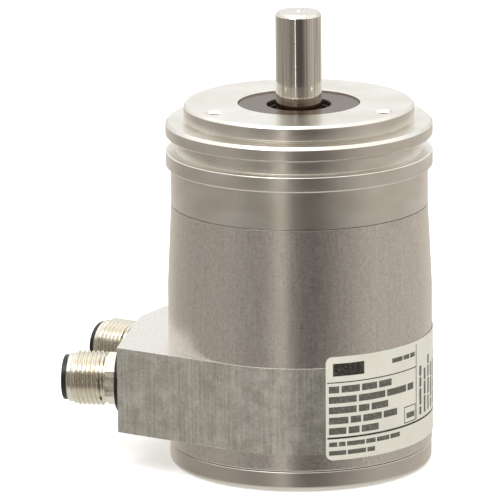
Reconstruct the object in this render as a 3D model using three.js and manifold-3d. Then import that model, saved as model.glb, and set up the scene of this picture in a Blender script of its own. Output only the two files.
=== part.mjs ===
// Rotary encoder: 58 mm absolute multi-turn encoder with a 10 mm solid shaft, a clamping flange,
// two M12 connectors on a side block, bearings, code disc, counter gears and boards inside.
// Millimetres, +Z up along the shaft, origin at the centre of the end cap's flat rear face.
import * as THREE from "three";
import { mergeVertices } from "three/addons/utils/BufferGeometryUtils.js";
import Module from "manifold-3d";

const wasm = await Module();
wasm.setup();

// ---- Driving dimensions ----
const shaftR = 5;
const shaftTopZ = 99.7;
const spigotR = 25;
const spigotTopZ = 79.7;
const flangeR = 29;
const flangeFaceZ = 76;
const grooveTopZ = 72.7;
const grooveBottomZ = 69.5;
const grooveR = 26.5;
const lowerRingBottomZ = 66.1;
const barrelR = 27.94;
const jointZ = 57.6;
const housingR = 28.86;
const coneBottomZ = 39.7;
const housingBottomZ = 4.6;
const boreR = 26;
const capR = 28.7;
const capTopZ = 4.5;
const blockBottomZ = 8.4;
const blockTopZ = 27.5;
const coverR = 13.25;
const coverSeatDepth = 1.3;
const boltCircleR = 21;
const boltHoleR = 2;
const boltHoleDepth = 9;
const boltAngles = [210, 330, 90];
const tieCircleR = 22.6;
const tieAngles = [30, 150, 270];
const tieScrewR = 1.45;
const tieScrewTopZ = 58.5;

// Directions in plan, counted from +X: outward normals of the block's end and side faces,
// with each face's distance from the shaft axis.
const frontFacet = { angle: 171, distance: 37.9 };
const rearFacet = { angle: 149.2, distance: 39.7 };
const frontSide = { angle: 239, distance: housingR };
const rearSide = { angle: 81, distance: housingR };
const connectorZ = 17.5;
const frontConnectorFromCorner = 11.3;
const rearConnectorFromRidge = 8.2;
const rearConnectorLift = 1.9;

// M12 connector, measured outward from the facet it sits on.
const gasketR = 7.3;
const gasketT = 1.6;
const neckEnd = 4.1;
const neckAcrossFlats = 10.6;
const threadEnd = 11.3;
const threadR = 6;
const threadRootR = 5.45;
const threadPitch = 1;
const shellEnd = 12.6;
const insertEnd = 13.8;
const insertR = 4.98;
const cavityR = 4.3;
const cavityDepth = 8.5;
const shellBoreR = 5.05;
const stemR = 4.9;
const stemHoleR = 5.2;
const pinR = 0.5;
const pinCircleR = 2.75;
const pinRecess = 1.5;

// Ball bearings 10 x 26 x 8, one under the seal and one at the back of the flange.
const bearing = { innerR: 5.03, outerR: 12.88, width: 8, ballR: 2.3, ballCircleR: 9, balls: 7 };
const frontBearingZ = 70.1;
const rearBearingZ = 56.1;
const shoulderR = 6.6;
const bearingPlay = 0.05;

// Seal cover, and the lip seal under it from its lower face to its top.
const sealCover = { innerR: 7, outerR: 13.15, bottomZ: 78.5, topZ: 79.3 };
const seal = {
  outerR: 12.9, pocketR: 6.4, mouthR: 5.5, play: 0.06,
  bottomZ: 74.4, lipBottomZ: 75.6, lipTopZ: 76.1, webTopZ: 76.4, topZ: 78.3,
};

// Retaining rings and the washer that loads the rear bearing.
const shaftClip = { innerR: 4.65, outerR: 7, gap: 60, gapAngle: 0, bottomZ: 51, topZ: 51.9 };
const boreClip = { innerR: 11, outerR: 13.4, gap: 40, gapAngle: 180, bottomZ: 49.4, topZ: 50.4 };
const washer = { innerR: 9.8, outerR: 12.6, bottomZ: 50.8, topZ: 51.9 };

// Sensing and counting parts, top faces from the shaft end downwards.
const hubTopZ = 49.3;
const discTopZ = 46.2;
const discT = 1;
const discR = 19.5;
const sensorBoardTopZ = 43;
const boardT = 1.6;
const boardR = 24.6;
const gearPlateTopZ = 40.9;
const gearPlateT = 1.2;
const gearTopZ = 39.3;
const gearT = 3;
const gearModule = 0.6;
const driveTeeth = 15;
const counterTeeth = [16, 17, 19];
const counterAngles = [90, 210, 330];
const journalR = 2.5;
const magnetR = 3;
const magnetT = 2;
const counterBoardTopZ = 33.6;
const mainBoardTopZ = 28.5;

const labelBottomZ = 7;
const labelTopZ = 29.9;
const labelStart = 280.7;
const labelSweep = 119;
const labelT = 0.15;

// Sides of the faceted round bodies, by their size.
const largeSides = 36;
const mediumSides = 20;
const smallSides = 12;

// ---- Materials ----
const finish = (color, roughness, metalness) =>
  new THREE.MeshStandardMaterial({ color, roughness, metalness });
const aluminium = finish(0xa39c93, 0.38, 1);
const castCap = finish(0x978e84, 0.42, 1);
const steel = finish(0xbdb7ae, 0.2, 1);
const springSteel = finish(0x8f8f94, 0.3, 1);
const blackPlate = finish(0x1b1a19, 0.35, 0);
const rubber = finish(0x161513, 0.7, 0);
const nickel = finish(0xd8d2c0, 0.18, 1);
const blackPlastic = finish(0x17140f, 0.45, 0);
const gold = finish(0xd9b25a, 0.25, 1);
const board = finish(0x1e5a38, 0.5, 0);
const cagePlastic = finish(0xd9cfae, 0.5, 0);
const gearPlastic = finish(0xe4e0d2, 0.45, 0);
const darkPlastic = finish(0x2a2a2c, 0.5, 0);
const glass = finish(0xaebfc4, 0.08, 0);
const brass = finish(0xb89450, 0.3, 1);
const magnet = finish(0x55565a, 0.4, 1);
const labelFilm = finish(0xd9d6ca, 0.5, 0);
const cableJacket = finish(0x3a3f48, 0.6, 0);

// ---- Small helpers ----
const rad = THREE.MathUtils.degToRad;
const unit = (degrees) => new THREE.Vector2(Math.cos(rad(degrees)), Math.sin(rad(degrees)));
const polar = (radius, degrees) => unit(degrees).multiplyScalar(radius);
const part = new THREE.Group();

function add(name, geometry, material, parent = part) {
  const mesh = new THREE.Mesh(geometry, material);
  mesh.name = name;
  parent.add(mesh);
  return mesh;
}

function toSolid(geometry) {
  const bare = geometry.clone();
  bare.deleteAttribute("normal");
  bare.deleteAttribute("uv");
  const merged = mergeVertices(bare, 1e-4);
  return new wasm.Manifold(
    new wasm.Mesh({
      numProp: 3,
      vertProperties: new Float32Array(merged.attributes.position.array),
      triVerts: new Uint32Array(merged.index.array),
    }),
  );
}

function toGeometry(solid) {
  const mesh = solid.getMesh();
  const geometry = new THREE.BufferGeometry();
  geometry.setAttribute("position", new THREE.BufferAttribute(mesh.vertProperties, 3));
  geometry.setIndex(new THREE.BufferAttribute(mesh.triVerts, 1));
  geometry.computeVertexNormals();
  return geometry;
}

const cut = (base, ...tools) =>
  toGeometry(tools.reduce((solid, tool) => solid.subtract(toSolid(tool)), toSolid(base)));
const join = (base, ...others) =>
  toGeometry(others.reduce((solid, other) => solid.add(toSolid(other)), toSolid(base)));

// A body turned about Z. The profile is a list of [radius, z] corners of the right half section,
// listed counter-clockwise, and it closes on itself or on the axis.
function turned(profile, sides) {
  const closed = [...profile, profile[0]].map(([r, z]) => new THREE.Vector2(r, z));
  return new THREE.LatheGeometry(closed, sides).rotateX(Math.PI / 2);
}

// A plain ring between two radii and two heights.
const ring = (innerR, outerR, bottomZ, topZ, sides) =>
  turned([[innerR, bottomZ], [outerR, bottomZ], [outerR, topZ], [innerR, topZ]], sides);

// A round rod along Z between two heights, moved to a point in plan.
function rod(radius, bottomZ, topZ, sides = smallSides, at = new THREE.Vector2(0, 0)) {
  return new THREE.CylinderGeometry(radius, radius, topZ - bottomZ, sides)
    .rotateX(Math.PI / 2)
    .translate(at.x, at.y, (bottomZ + topZ) / 2);
}

function box(sizeX, sizeY, bottomZ, topZ, at = new THREE.Vector2(0, 0)) {
  return new THREE.BoxGeometry(sizeX, sizeY, topZ - bottomZ)
    .translate(at.x, at.y, (bottomZ + topZ) / 2);
}

// The point in plan where two straight faces meet, each given by its normal and its distance.
function meet(a, b) {
  const na = unit(a.angle);
  const nb = unit(b.angle);
  const det = na.cross(nb);
  return new THREE.Vector2(
    (a.distance * nb.y - b.distance * na.y) / det,
    (b.distance * na.x - a.distance * nb.x) / det,
  );
}

// ---- Block and connector places ----
const frontCorner = meet(frontFacet, frontSide);
const ridge = meet(frontFacet, rearFacet);
const rearCorner = meet(rearFacet, rearSide);
const along = (from, to, distance) =>
  to.clone().sub(from).normalize().multiplyScalar(distance).add(from);
const connectorPlaces = [
  {
    side: "front",
    angle: frontFacet.angle,
    seat: along(frontCorner, ridge, frontConnectorFromCorner),
    lift: 0,
  },
  {
    side: "rear",
    angle: rearFacet.angle,
    seat: along(ridge, rearCorner, rearConnectorFromRidge),
    lift: rearConnectorLift,
  },
];

// Lays a body made about +Z onto a connector's axis, with z = 0 on the block's facet.
function ontoConnector(geometry, place) {
  return geometry
    .rotateY(Math.PI / 2)
    .rotateZ(rad(place.angle))
    .translate(place.seat.x, place.seat.y, connectorZ);
}

// Grooves for the two O-rings that seal the housing's ends.
const ringGroove = { depth: 1.2, half: 0.8 };
const flangeRing = { z: 55.4 };
const capRing = { z: 6.4 };

// ---- Flange: spigot, clamp groove, bearing seats and the plug that enters the housing ----
function makeFlange() {
  const seatR = 13;
  const spacerR = 11;
  const plugR = 25.85;
  const plugBottomZ = 53;
  const hubR = 14.4;
  const hubBottomZ = 48.6;
  const clipGroove = { r: 13.6, bottomZ: 49.3, topZ: 50.5 };
  const discChamfer = 0.7;
  const spigotChamfer = 0.5;
  const body = turned(
    [
      [spacerR, frontBearingZ - bearing.width / 2],
      [spacerR, rearBearingZ + bearing.width / 2],
      [seatR, rearBearingZ + bearing.width / 2],
      [seatR, clipGroove.topZ],
      [clipGroove.r, clipGroove.topZ],
      [clipGroove.r, clipGroove.bottomZ],
      [seatR, clipGroove.bottomZ],
      [seatR, hubBottomZ],
      [hubR, hubBottomZ],
      [hubR, plugBottomZ],
      [plugR, plugBottomZ],
      [plugR, flangeRing.z - ringGroove.half],
      [plugR - ringGroove.depth, flangeRing.z - ringGroove.half],
      [plugR - ringGroove.depth, flangeRing.z + ringGroove.half],
      [plugR, flangeRing.z + ringGroove.half],
      [plugR, jointZ],
      [barrelR, jointZ],
      [barrelR, lowerRingBottomZ],
      [flangeR, lowerRingBottomZ],
      [flangeR, grooveBottomZ],
      [grooveR, grooveBottomZ],
      [grooveR, grooveTopZ],
      [flangeR, grooveTopZ],
      [flangeR, flangeFaceZ - discChamfer],
      [flangeR - discChamfer, flangeFaceZ],
      [spigotR, flangeFaceZ],
      [spigotR, spigotTopZ - spigotChamfer],
      [spigotR - spigotChamfer, spigotTopZ],
      [coverR, spigotTopZ],
      [coverR, spigotTopZ - coverSeatDepth],
      [seatR, spigotTopZ - coverSeatDepth],
      [seatR, frontBearingZ - bearing.width / 2],
    ],
    largeSides,
  );
  const holes = boltAngles.map((angle) =>
    rod(boltHoleR, spigotTopZ - boltHoleDepth, spigotTopZ + 1, smallSides,
      polar(boltCircleR, angle)));
  const tieHoles = tieAngles.map((angle) =>
    rod(tieScrewR + 0.1, plugBottomZ - 1, tieScrewTopZ + 0.5, smallSides,
      polar(tieCircleR, angle)));
  return cut(body, ...holes, ...tieHoles);
}
add("flange", makeFlange(), aluminium);

// ---- Housing: extruded profile with the connector block, turned above and below it ----
function makeHousing() {
  const shell = turned(
    [
      [0, housingBottomZ],
      [housingR, housingBottomZ],
      [housingR, coneBottomZ],
      [barrelR, jointZ],
      [0, jointZ],
    ],
    largeSides,
  );
  const frontTangent = polar(housingR - 0.4, frontSide.angle);
  const rearTangent = polar(housingR - 0.4, rearSide.angle);
  const outline = new THREE.Shape([rearTangent, rearCorner, ridge, frontCorner, frontTangent]);
  const block = new THREE.ExtrudeGeometry(outline, {
    depth: blockTopZ - blockBottomZ,
    bevelEnabled: false,
  }).translate(0, 0, blockBottomZ);
  const bore = rod(boreR, housingBottomZ - 1, jointZ + 1, largeSides);
  const holes = connectorPlaces.map((place) =>
    ontoConnector(rod(stemHoleR, -20, 2, 18), place));
  return toGeometry(
    holes
      .reduce(
        (solid, hole) => solid.subtract(toSolid(hole)),
        toSolid(shell).add(toSolid(block)).subtract(toSolid(bore)),
      ),
  );
}
add("housing", makeHousing(), aluminium);

// ---- End cap with its plug, O-rings and the three long tie screws ----
const capPlugR = 25.7;
const capPlugTopZ = 8.6;
const screwSeatZ = 3.2;
const screwHeadR = 2.75;
function makeEndCap() {
  const filletR = 1.3;
  const recessR = 19.6;
  const screwSeatR = 3.1;
  const screwHoleR = 1.7;
  const fillet = [0, 45, 90].map((a) => [
    capR - filletR + filletR * Math.sin(rad(a)),
    filletR - filletR * Math.cos(rad(a)),
  ]);
  const body = turned(
    [
      [0, 0],
      ...fillet,
      [capR, capTopZ],
      [capPlugR, capTopZ],
      [capPlugR, capRing.z - ringGroove.half],
      [capPlugR - ringGroove.depth, capRing.z - ringGroove.half],
      [capPlugR - ringGroove.depth, capRing.z + ringGroove.half],
      [capPlugR, capRing.z + ringGroove.half],
      [capPlugR, capPlugTopZ],
      [recessR, capPlugTopZ],
      [recessR, capTopZ],
      [0, capTopZ],
    ],
    largeSides,
  );
  const seats = tieAngles.map((angle) =>
    rod(screwSeatR, -1, screwSeatZ, smallSides, polar(tieCircleR, angle)));
  const holes = tieAngles.map((angle) =>
    rod(screwHoleR, -1, capPlugTopZ + 1, smallSides, polar(tieCircleR, angle)));
  return cut(body, ...seats, ...holes);
}
add("end_cap", makeEndCap(), castCap);

function oRing(z) {
  const radius = 25.38;
  const section = 0.48;
  const sides = 32;
  const corners = [0, 72, 144, 216, 288].map((a) => [
    radius + section * Math.cos(rad(a)),
    z + section * Math.sin(rad(a)),
  ]);
  return turned(corners, sides);
}
add("flange_o_ring", oRing(flangeRing.z), rubber);
add("cap_o_ring", oRing(capRing.z), rubber);

function makeTieScrew(angle) {
  const at = polar(tieCircleR, angle);
  const headBottomZ = 0.5;
  const socketR = 1.4;
  const head = rod(screwHeadR, headBottomZ, screwSeatZ - 0.02, smallSides, at);
  const shank = rod(tieScrewR, screwSeatZ - 1, tieScrewTopZ, smallSides, at);
  const socket = rod(socketR, headBottomZ - 1.5, headBottomZ + 1.5, 6, at);
  return toGeometry(toSolid(head).add(toSolid(shank)).subtract(toSolid(socket)));
}

// The posts slip over the tie screws and carry the boards.
function makePost(angle) {
  const at = polar(tieCircleR, angle);
  const postR = 2.6;
  const boreRadius = 1.75;
  const postTopZ = 52.9;
  return cut(
    rod(postR, capPlugTopZ + 0.1, postTopZ, smallSides, at),
    rod(boreRadius, 0, postTopZ + 1, smallSides, at),
  );
}
tieAngles.forEach((angle, i) => {
  add(`tie_screw_${i + 1}`, makeTieScrew(angle), springSteel);
  add(`board_post_${i + 1}`, makePost(angle), darkPlastic);
});

// ---- Seal cover, shaft seal and bearings ----
add(
  "seal_cover",
  ring(sealCover.innerR, sealCover.outerR, sealCover.bottomZ, sealCover.topZ, largeSides),
  blackPlate,
);
// The bore that lets a turning round part of the given radius pass between its flat sides.
const clearOf = (radius, sides) => radius / Math.cos(Math.PI / sides);
const lipR = clearOf(shaftR + seal.play, mediumSides);
add(
  "shaft_seal",
  turned(
    [
      [lipR, seal.lipBottomZ],
      [seal.mouthR, seal.bottomZ],
      [seal.outerR, seal.bottomZ],
      [seal.outerR, seal.topZ],
      [seal.pocketR, seal.topZ],
      [seal.pocketR, seal.webTopZ],
      [lipR, seal.lipTopZ],
    ],
    mediumSides,
  ),
  rubber,
);

const raceR = bearing.ballR + 0.25;
const racewayArc = (degrees, z) =>
  degrees.map((a) => [
    bearing.ballCircleR + raceR * Math.cos(rad(a)),
    z + raceR * Math.sin(rad(a)),
  ]);
function innerRing(z) {
  const half = bearing.width / 2;
  const landR = 7.1;
  return turned(
    [
      [bearing.innerR, z - half],
      [landR, z - half],
      ...racewayArc([222, 195, 165, 138], z),
      [landR, z + half],
      [bearing.innerR, z + half],
    ],
    mediumSides,
  );
}
function outerRing(z) {
  const half = bearing.width / 2;
  const landR = 11.05;
  return turned(
    [
      [landR, z - half],
      [bearing.outerR, z - half],
      [bearing.outerR, z + half],
      [landR, z + half],
      ...racewayArc([37, 14, -14, -37], z),
    ],
    mediumSides,
  );
}
function ballsAndCage(z) {
  const cageHalf = 0.9;
  const cage = ring(
    bearing.ballCircleR - cageHalf,
    bearing.ballCircleR + cageHalf,
    z - 3,
    z - 1,
    mediumSides,
  );
  const balls = Array.from({ length: bearing.balls }, (_, i) => {
    const at = polar(bearing.ballCircleR, (360 * i) / bearing.balls);
    return new THREE.SphereGeometry(bearing.ballR, 8, 5).rotateX(Math.PI / 2)
      .translate(at.x, at.y, z);
  });
  return join(cage, ...balls);
}
[["front", frontBearingZ], ["rear", rearBearingZ]].forEach(([side, z]) => {
  add(`${side}_bearing_outer_ring`, outerRing(z), steel);
  add(`${side}_bearing_inner_ring`, innerRing(z), steel);
  add(`${side}_bearing_cage`, ballsAndCage(z), cagePlastic);
});

// ---- Shaft, its retaining ring, disc hub, code disc and drive gear ----
function makeShaft() {
  const half = bearing.width / 2;
  const gearSeatZ = 43.5;
  const groove = { topZ: rearBearingZ - half - 0.1, bottomZ: shaftClip.bottomZ - 0.1, r: 4.6 };
  const shoulder = {
    bottomZ: rearBearingZ + half + bearingPlay,
    topZ: frontBearingZ - half - bearingPlay,
  };
  const centreHoleR = 0.8;
  const chamfer = { across: 0.5, along: 0.8 };
  return turned(
    [
      [0, gearTopZ - gearT],
      [journalR, gearTopZ - gearT],
      [journalR, gearSeatZ],
      [shaftR, gearSeatZ],
      [shaftR, groove.bottomZ],
      [groove.r, groove.bottomZ],
      [groove.r, groove.topZ],
      [shaftR, groove.topZ],
      [shaftR, shoulder.bottomZ],
      [shoulderR, shoulder.bottomZ],
      [shoulderR, shoulder.topZ],
      [shaftR, shoulder.topZ],
      [shaftR, shaftTopZ - chamfer.along],
      [shaftR - chamfer.across, shaftTopZ],
      [centreHoleR, shaftTopZ],
      [0, shaftTopZ - centreHoleR],
    ],
    mediumSides,
  );
}
add("shaft", makeShaft(), steel);

// A retaining ring, made as a C in plan.
function retainingRing({ innerR, outerR, gap, gapAngle, bottomZ, topZ }) {
  const start = rad(gapAngle + gap / 2);
  const end = rad(gapAngle + 360 - gap / 2);
  const shape = new THREE.Shape();
  shape.absarc(0, 0, outerR, start, end, false);
  shape.absarc(0, 0, innerR, end, start, true);
  return new THREE.ExtrudeGeometry(shape, {
    depth: topZ - bottomZ,
    bevelEnabled: false,
    curveSegments: 12,
  }).translate(0, 0, bottomZ);
}
add("shaft_circlip", retainingRing(shaftClip), springSteel);
add("bore_circlip", retainingRing(boreClip), springSteel);
add(
  "wave_washer",
  ring(washer.innerR, washer.outerR, washer.bottomZ, washer.topZ, mediumSides),
  springSteel,
);

// The disc hub: a sleeve that centres the code disc, under a rim that holds it down.
const hub = { boreR: shaftR + 0.03, sleeveR: 7.4, rimR: 9, bottomZ: discTopZ - discT - 0.8 };
add(
  "disc_hub",
  turned(
    [
      [hub.boreR, hub.bottomZ],
      [hub.sleeveR, hub.bottomZ],
      [hub.sleeveR, discTopZ + 0.02],
      [hub.rimR, discTopZ + 0.02],
      [hub.rimR, hubTopZ],
      [hub.boreR, hubTopZ],
    ],
    mediumSides,
  ),
  brass,
);
add("code_disc", ring(hub.sleeveR + 0.1, discR, discTopZ - discT, discTopZ, 32), glass);

// A spur gear with a round bore and a tooth on the given angle.
function gear(teeth, bore, toothAngle) {
  const pitchR = (gearModule * teeth) / 2;
  const tipR = pitchR + 0.9 * gearModule;
  const rootR = pitchR - 1.2 * gearModule;
  const step = 360 / teeth;
  const rootHalf = 0.32 * step;
  const tipHalf = 0.09 * step;
  const outline = [];
  for (let i = 0; i < teeth; i++) {
    const middle = toothAngle + i * step;
    outline.push(polar(rootR, middle - rootHalf), polar(tipR, middle - tipHalf));
    outline.push(polar(tipR, middle + tipHalf), polar(rootR, middle + rootHalf));
  }
  const shape = new THREE.Shape(outline);
  const holePoints = Array.from({ length: smallSides }, (_, i) =>
    polar(clearOf(bore, smallSides), (-360 * i) / smallSides));
  shape.holes.push(new THREE.Path(holePoints));
  return new THREE.ExtrudeGeometry(shape, { depth: gearT, bevelEnabled: false })
    .translate(0, 0, gearTopZ - gearT);
}
add("drive_gear", gear(driveTeeth, journalR + 0.05, counterAngles[0]), gearPlastic);

// ---- Turn counter: three gears on fixed axles, each with a magnet, each meshing the drive gear ----
const axleR = 0.75;
counterTeeth.forEach((teeth, i) => {
  const angle = counterAngles[i];
  const centre = polar((gearModule * (driveTeeth + teeth)) / 2, angle);
  // The drive gear has a tooth on each line of centres, so each counter gear has a gap there.
  const toothAngle = angle + 180 + 180 / teeth;
  const place = new THREE.Group();
  place.position.set(centre.x, centre.y, 0);
  part.add(place);
  add(`counter_gear_${i + 1}`, gear(teeth, axleR + 0.06, toothAngle), gearPlastic, place);
  const magnetTopZ = gearTopZ - gearT;
  add(
    `counter_magnet_${i + 1}`,
    rod(magnetR, magnetTopZ - magnetT, magnetTopZ),
    magnet,
    place,
  );
  add(
    `gear_axle_${i + 1}`,
    rod(axleR, magnetTopZ + 0.1, gearPlateTopZ - 0.1, 8),
    steel,
    place,
  );
});

// A round plate with cut-outs for the board posts, and other holes and blocks on it.
function roundPlate(topZ, thickness, holes, blocks) {
  const bottomZ = topZ - thickness;
  const disc = rod(boardR, bottomZ, topZ, largeSides);
  const notches = tieAngles.map((angle) =>
    rod(clearOf(2.65, 8), bottomZ - 1, topZ + 1, 8, polar(tieCircleR, angle)));
  const cutPlate = [...notches, ...holes].reduce(
    (solid, hole) => solid.subtract(toSolid(hole)),
    toSolid(disc),
  );
  return toGeometry(blocks.reduce((solid, block) => solid.add(toSolid(block)), cutPlate));
}

const gearPlateBottomZ = gearPlateTopZ - gearPlateT;
const axleHoles = counterTeeth.map((teeth, i) => {
  const centre = polar((gearModule * (driveTeeth + teeth)) / 2, counterAngles[i]);
  return rod(axleR + 0.03, gearPlateBottomZ - 1, gearPlateTopZ + 1, 8, centre);
});
add(
  "gear_plate",
  roundPlate(
    gearPlateTopZ,
    gearPlateT,
    [rod(4, gearPlateBottomZ - 1, gearPlateTopZ + 1, smallSides), ...axleHoles],
    [],
  ),
  darkPlastic,
);

// ---- Optical sensing: light source above the disc, reticle and reading chip below it ----
const opticsAngle = 210;
const opticsR = 17.2;
const alongRadius = (sizeR, sizeAcross, bottomZ, topZ) =>
  box(sizeR, sizeAcross, bottomZ, topZ, new THREE.Vector2(opticsR, 0)).rotateZ(rad(opticsAngle));
function lightSource() {
  const holder = alongRadius(4.4, 8, discTopZ + 1.2, 52.9);
  const lens = rod(1.8, discTopZ + 0.5, discTopZ + 1.3, smallSides, polar(opticsR, opticsAngle));
  return join(holder, lens);
}
add("light_source", lightSource(), darkPlastic);
add("reticle", alongRadius(4.4, 7, sensorBoardTopZ + 1.1, sensorBoardTopZ + 1.8), glass);
add(
  "sensor_board",
  roundPlate(
    sensorBoardTopZ,
    boardT,
    [rod(5.6, sensorBoardTopZ - 3, sensorBoardTopZ + 1, smallSides)],
    [
      alongRadius(4.4, 7, sensorBoardTopZ - 0.1, sensorBoardTopZ + 1.08),
      box(4, 3, sensorBoardTopZ - 0.1, sensorBoardTopZ + 0.9, polar(17, 60)),
      box(3, 5, sensorBoardTopZ - 0.1, sensorBoardTopZ + 0.8, polar(17, 345)),
    ],
  ),
  board,
);
const hallSensors = counterTeeth.map((teeth, i) => {
  const centre = polar((gearModule * (driveTeeth + teeth)) / 2, counterAngles[i]);
  return box(3.4, 3.4, counterBoardTopZ - 0.1, counterBoardTopZ + 0.4, centre);
});
add(
  "counter_board",
  roundPlate(
    counterBoardTopZ,
    boardT,
    [],
    [...hallSensors, box(7, 7, counterBoardTopZ - 0.1, counterBoardTopZ + 1, polar(17.5, 180))],
  ),
  board,
);
const mainBoardBottomZ = mainBoardTopZ - boardT;
add(
  "main_board",
  roundPlate(
    mainBoardTopZ,
    boardT,
    [],
    [
      box(10, 10, mainBoardTopZ - 0.1, mainBoardTopZ + 1.4, polar(6, 20)),
      box(6, 5, mainBoardTopZ - 0.1, mainBoardTopZ + 1.8, polar(14, 200)),
      rod(3, mainBoardBottomZ - 7, mainBoardBottomZ + 0.1, 14, polar(14, 0)),
      rod(3, mainBoardBottomZ - 7, mainBoardBottomZ + 0.1, 14, polar(14, 320)),
      box(12, 5, mainBoardBottomZ - 2.4, mainBoardBottomZ + 0.1, polar(11, 90)),
    ],
  ),
  board,
);

// ---- Connectors ----
const connectorSides = 18;

// Shell: stem through the block's wall, hexagonal neck, M12 thread with its lead chamfer.
// The lift is how much further out the thread stands on a longer neck.
function connectorShell(lift) {
  const stemLength = 9;
  const wireWayR = 3.6;
  const collar = neckAcrossFlats / 2 / Math.cos(rad(30));
  const threads = [];
  const crests = Math.floor((threadEnd - neckEnd) / threadPitch);
  for (let i = 0; i < crests; i++) {
    const start = neckEnd + 0.1 + i * threadPitch;
    threads.push([threadRootR, start], [threadR, start + threadPitch / 2]);
  }
  const front = turned(
    [
      [0, neckEnd - 0.5],
      [threadRootR - 0.25, neckEnd - 0.5],
      [threadRootR - 0.25, neckEnd],
      ...threads,
      [threadRootR, threadEnd + 0.2],
      [threadRootR, shellEnd],
      [0, shellEnd],
    ],
    connectorSides,
  ).translate(0, 0, lift);
  const neckStart = gasketT + 0.05;
  const neckStop = neckEnd + lift;
  const neck = new THREE.CylinderGeometry(collar, collar, neckStop - neckStart, 6)
    .rotateX(Math.PI / 2)
    .translate(0, 0, (neckStart + neckStop) / 2);
  const stem = rod(stemR, -stemLength, 3, connectorSides);
  const socket = rod(shellBoreR, insertEnd - cavityDepth - 2.5, shellEnd + 1, connectorSides)
    .translate(0, 0, lift);
  const wireWay = rod(wireWayR, -stemLength - 1, shellEnd + lift, smallSides);
  const solid = toSolid(front).add(toSolid(neck)).add(toSolid(stem));
  return toGeometry(solid.subtract(toSolid(socket)).subtract(toSolid(wireWay)));
}

// Insert: a cup with its pins' floor; a key rib on the wall keeps the plug the right way round.
function connectorInsert() {
  const floorZ = insertEnd - cavityDepth;
  const cup = turned(
    [
      [0, floorZ - 2.4],
      [insertR, floorZ - 2.4],
      [insertR, insertEnd - 0.4],
      [insertR - 0.3, insertEnd],
      [cavityR, insertEnd],
      [cavityR, floorZ],
      [0, floorZ],
    ],
    connectorSides,
  );
  const key = box(0.9, 0.7, floorZ - 0.2, insertEnd - 1, new THREE.Vector2(-cavityR + 0.35, 0));
  const pinHoles = pinCentres().map((at) => rod(pinR + 0.05, floorZ - 4, floorZ + 1, 6, at));
  const solid = toSolid(cup).add(toSolid(key));
  return toGeometry(pinHoles.reduce((rest, hole) => rest.subtract(toSolid(hole)), solid));
}

function pinCentres() {
  const corners = [45, 135, 225, 315].map((angle) => polar(pinCircleR, angle));
  return [...corners, new THREE.Vector2(0, 0)];
}

function connectorPin(at) {
  const topZ = insertEnd - pinRecess;
  const pin = turned(
    [
      [0, 0],
      [pinR, 0],
      [pinR, topZ - 0.4],
      [0, topZ],
    ],
    6,
  );
  return pin.translate(at.x, at.y, 0);
}

connectorPlaces.forEach((place) => {
  const name = `${place.side}_connector`;
  const lifted = (body) => ontoConnector(body.translate(0, 0, place.lift), place);
  add(`${name}_shell`, ontoConnector(connectorShell(place.lift), place), nickel);
  add(`${name}_insert`, lifted(connectorInsert()), blackPlastic);
  add(
    `${name}_gasket`,
    ontoConnector(ring(stemR + 0.1, gasketR, 0.02, gasketT, mediumSides), place),
    rubber,
  );
  pinCentres().forEach((at, i) => {
    add(`${name}_pin_${i + 1}`, lifted(connectorPin(at)), gold);
  });
});

// ---- Leads from the connectors' stems to the header under the main board ----
function connectorLead(place, headerX) {
  const leadR = 1.3;
  const headerY = 6.8;
  const outward = unit(place.angle);
  const from = (distance) => outward.clone().multiplyScalar(distance).add(place.seat);
  const start = from(-3);
  const turn = from(-21);
  const header = new THREE.Vector2(headerX, headerY);
  const route = new THREE.CatmullRomCurve3([
    new THREE.Vector3(start.x, start.y, connectorZ),
    new THREE.Vector3(...from(-12), connectorZ),
    new THREE.Vector3(turn.x, turn.y, connectorZ),
    new THREE.Vector3((turn.x + header.x) / 2, (turn.y + header.y) / 2, connectorZ + 0.5),
    new THREE.Vector3(header.x, header.y, connectorZ + 3),
    new THREE.Vector3(header.x, header.y, mainBoardBottomZ - 0.3),
  ]);
  const section = new THREE.Shape().absarc(0, 0, leadR, 0, 2 * Math.PI, false);
  return new THREE.ExtrudeGeometry(section, {
    extrudePath: route,
    steps: 12,
    bevelEnabled: false,
    curveSegments: 4,
  });
}
add("front_connector_lead", connectorLead(connectorPlaces[0], -4), cableJacket);
add("rear_connector_lead", connectorLead(connectorPlaces[1], 3), cableJacket);

// ---- Label, wrapped on the housing ----
function makeLabel() {
  const segments = 14;
  const clearR = clearOf(housingR + 0.03, (segments * 360) / labelSweep);
  const shape = new THREE.Shape();
  const point = (radius, i) => polar(radius, labelStart + (labelSweep * i) / segments);
  const outer = Array.from({ length: segments + 1 }, (_, i) => point(clearR + labelT, i));
  const inner = Array.from({ length: segments + 1 }, (_, i) => point(clearR, segments - i));
  [...outer, ...inner].forEach((p, i) => (i ? shape.lineTo(p.x, p.y) : shape.moveTo(p.x, p.y)));
  shape.closePath();
  return new THREE.ExtrudeGeometry(shape, {
    depth: labelTopZ - labelBottomZ,
    bevelEnabled: false,
  }).translate(0, 0, labelBottomZ);
}
add("label", makeLabel(), labelFilm);

export default part;
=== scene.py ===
import math
import random

import bmesh
import bpy
from mathutils import Matrix, Vector


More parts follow.
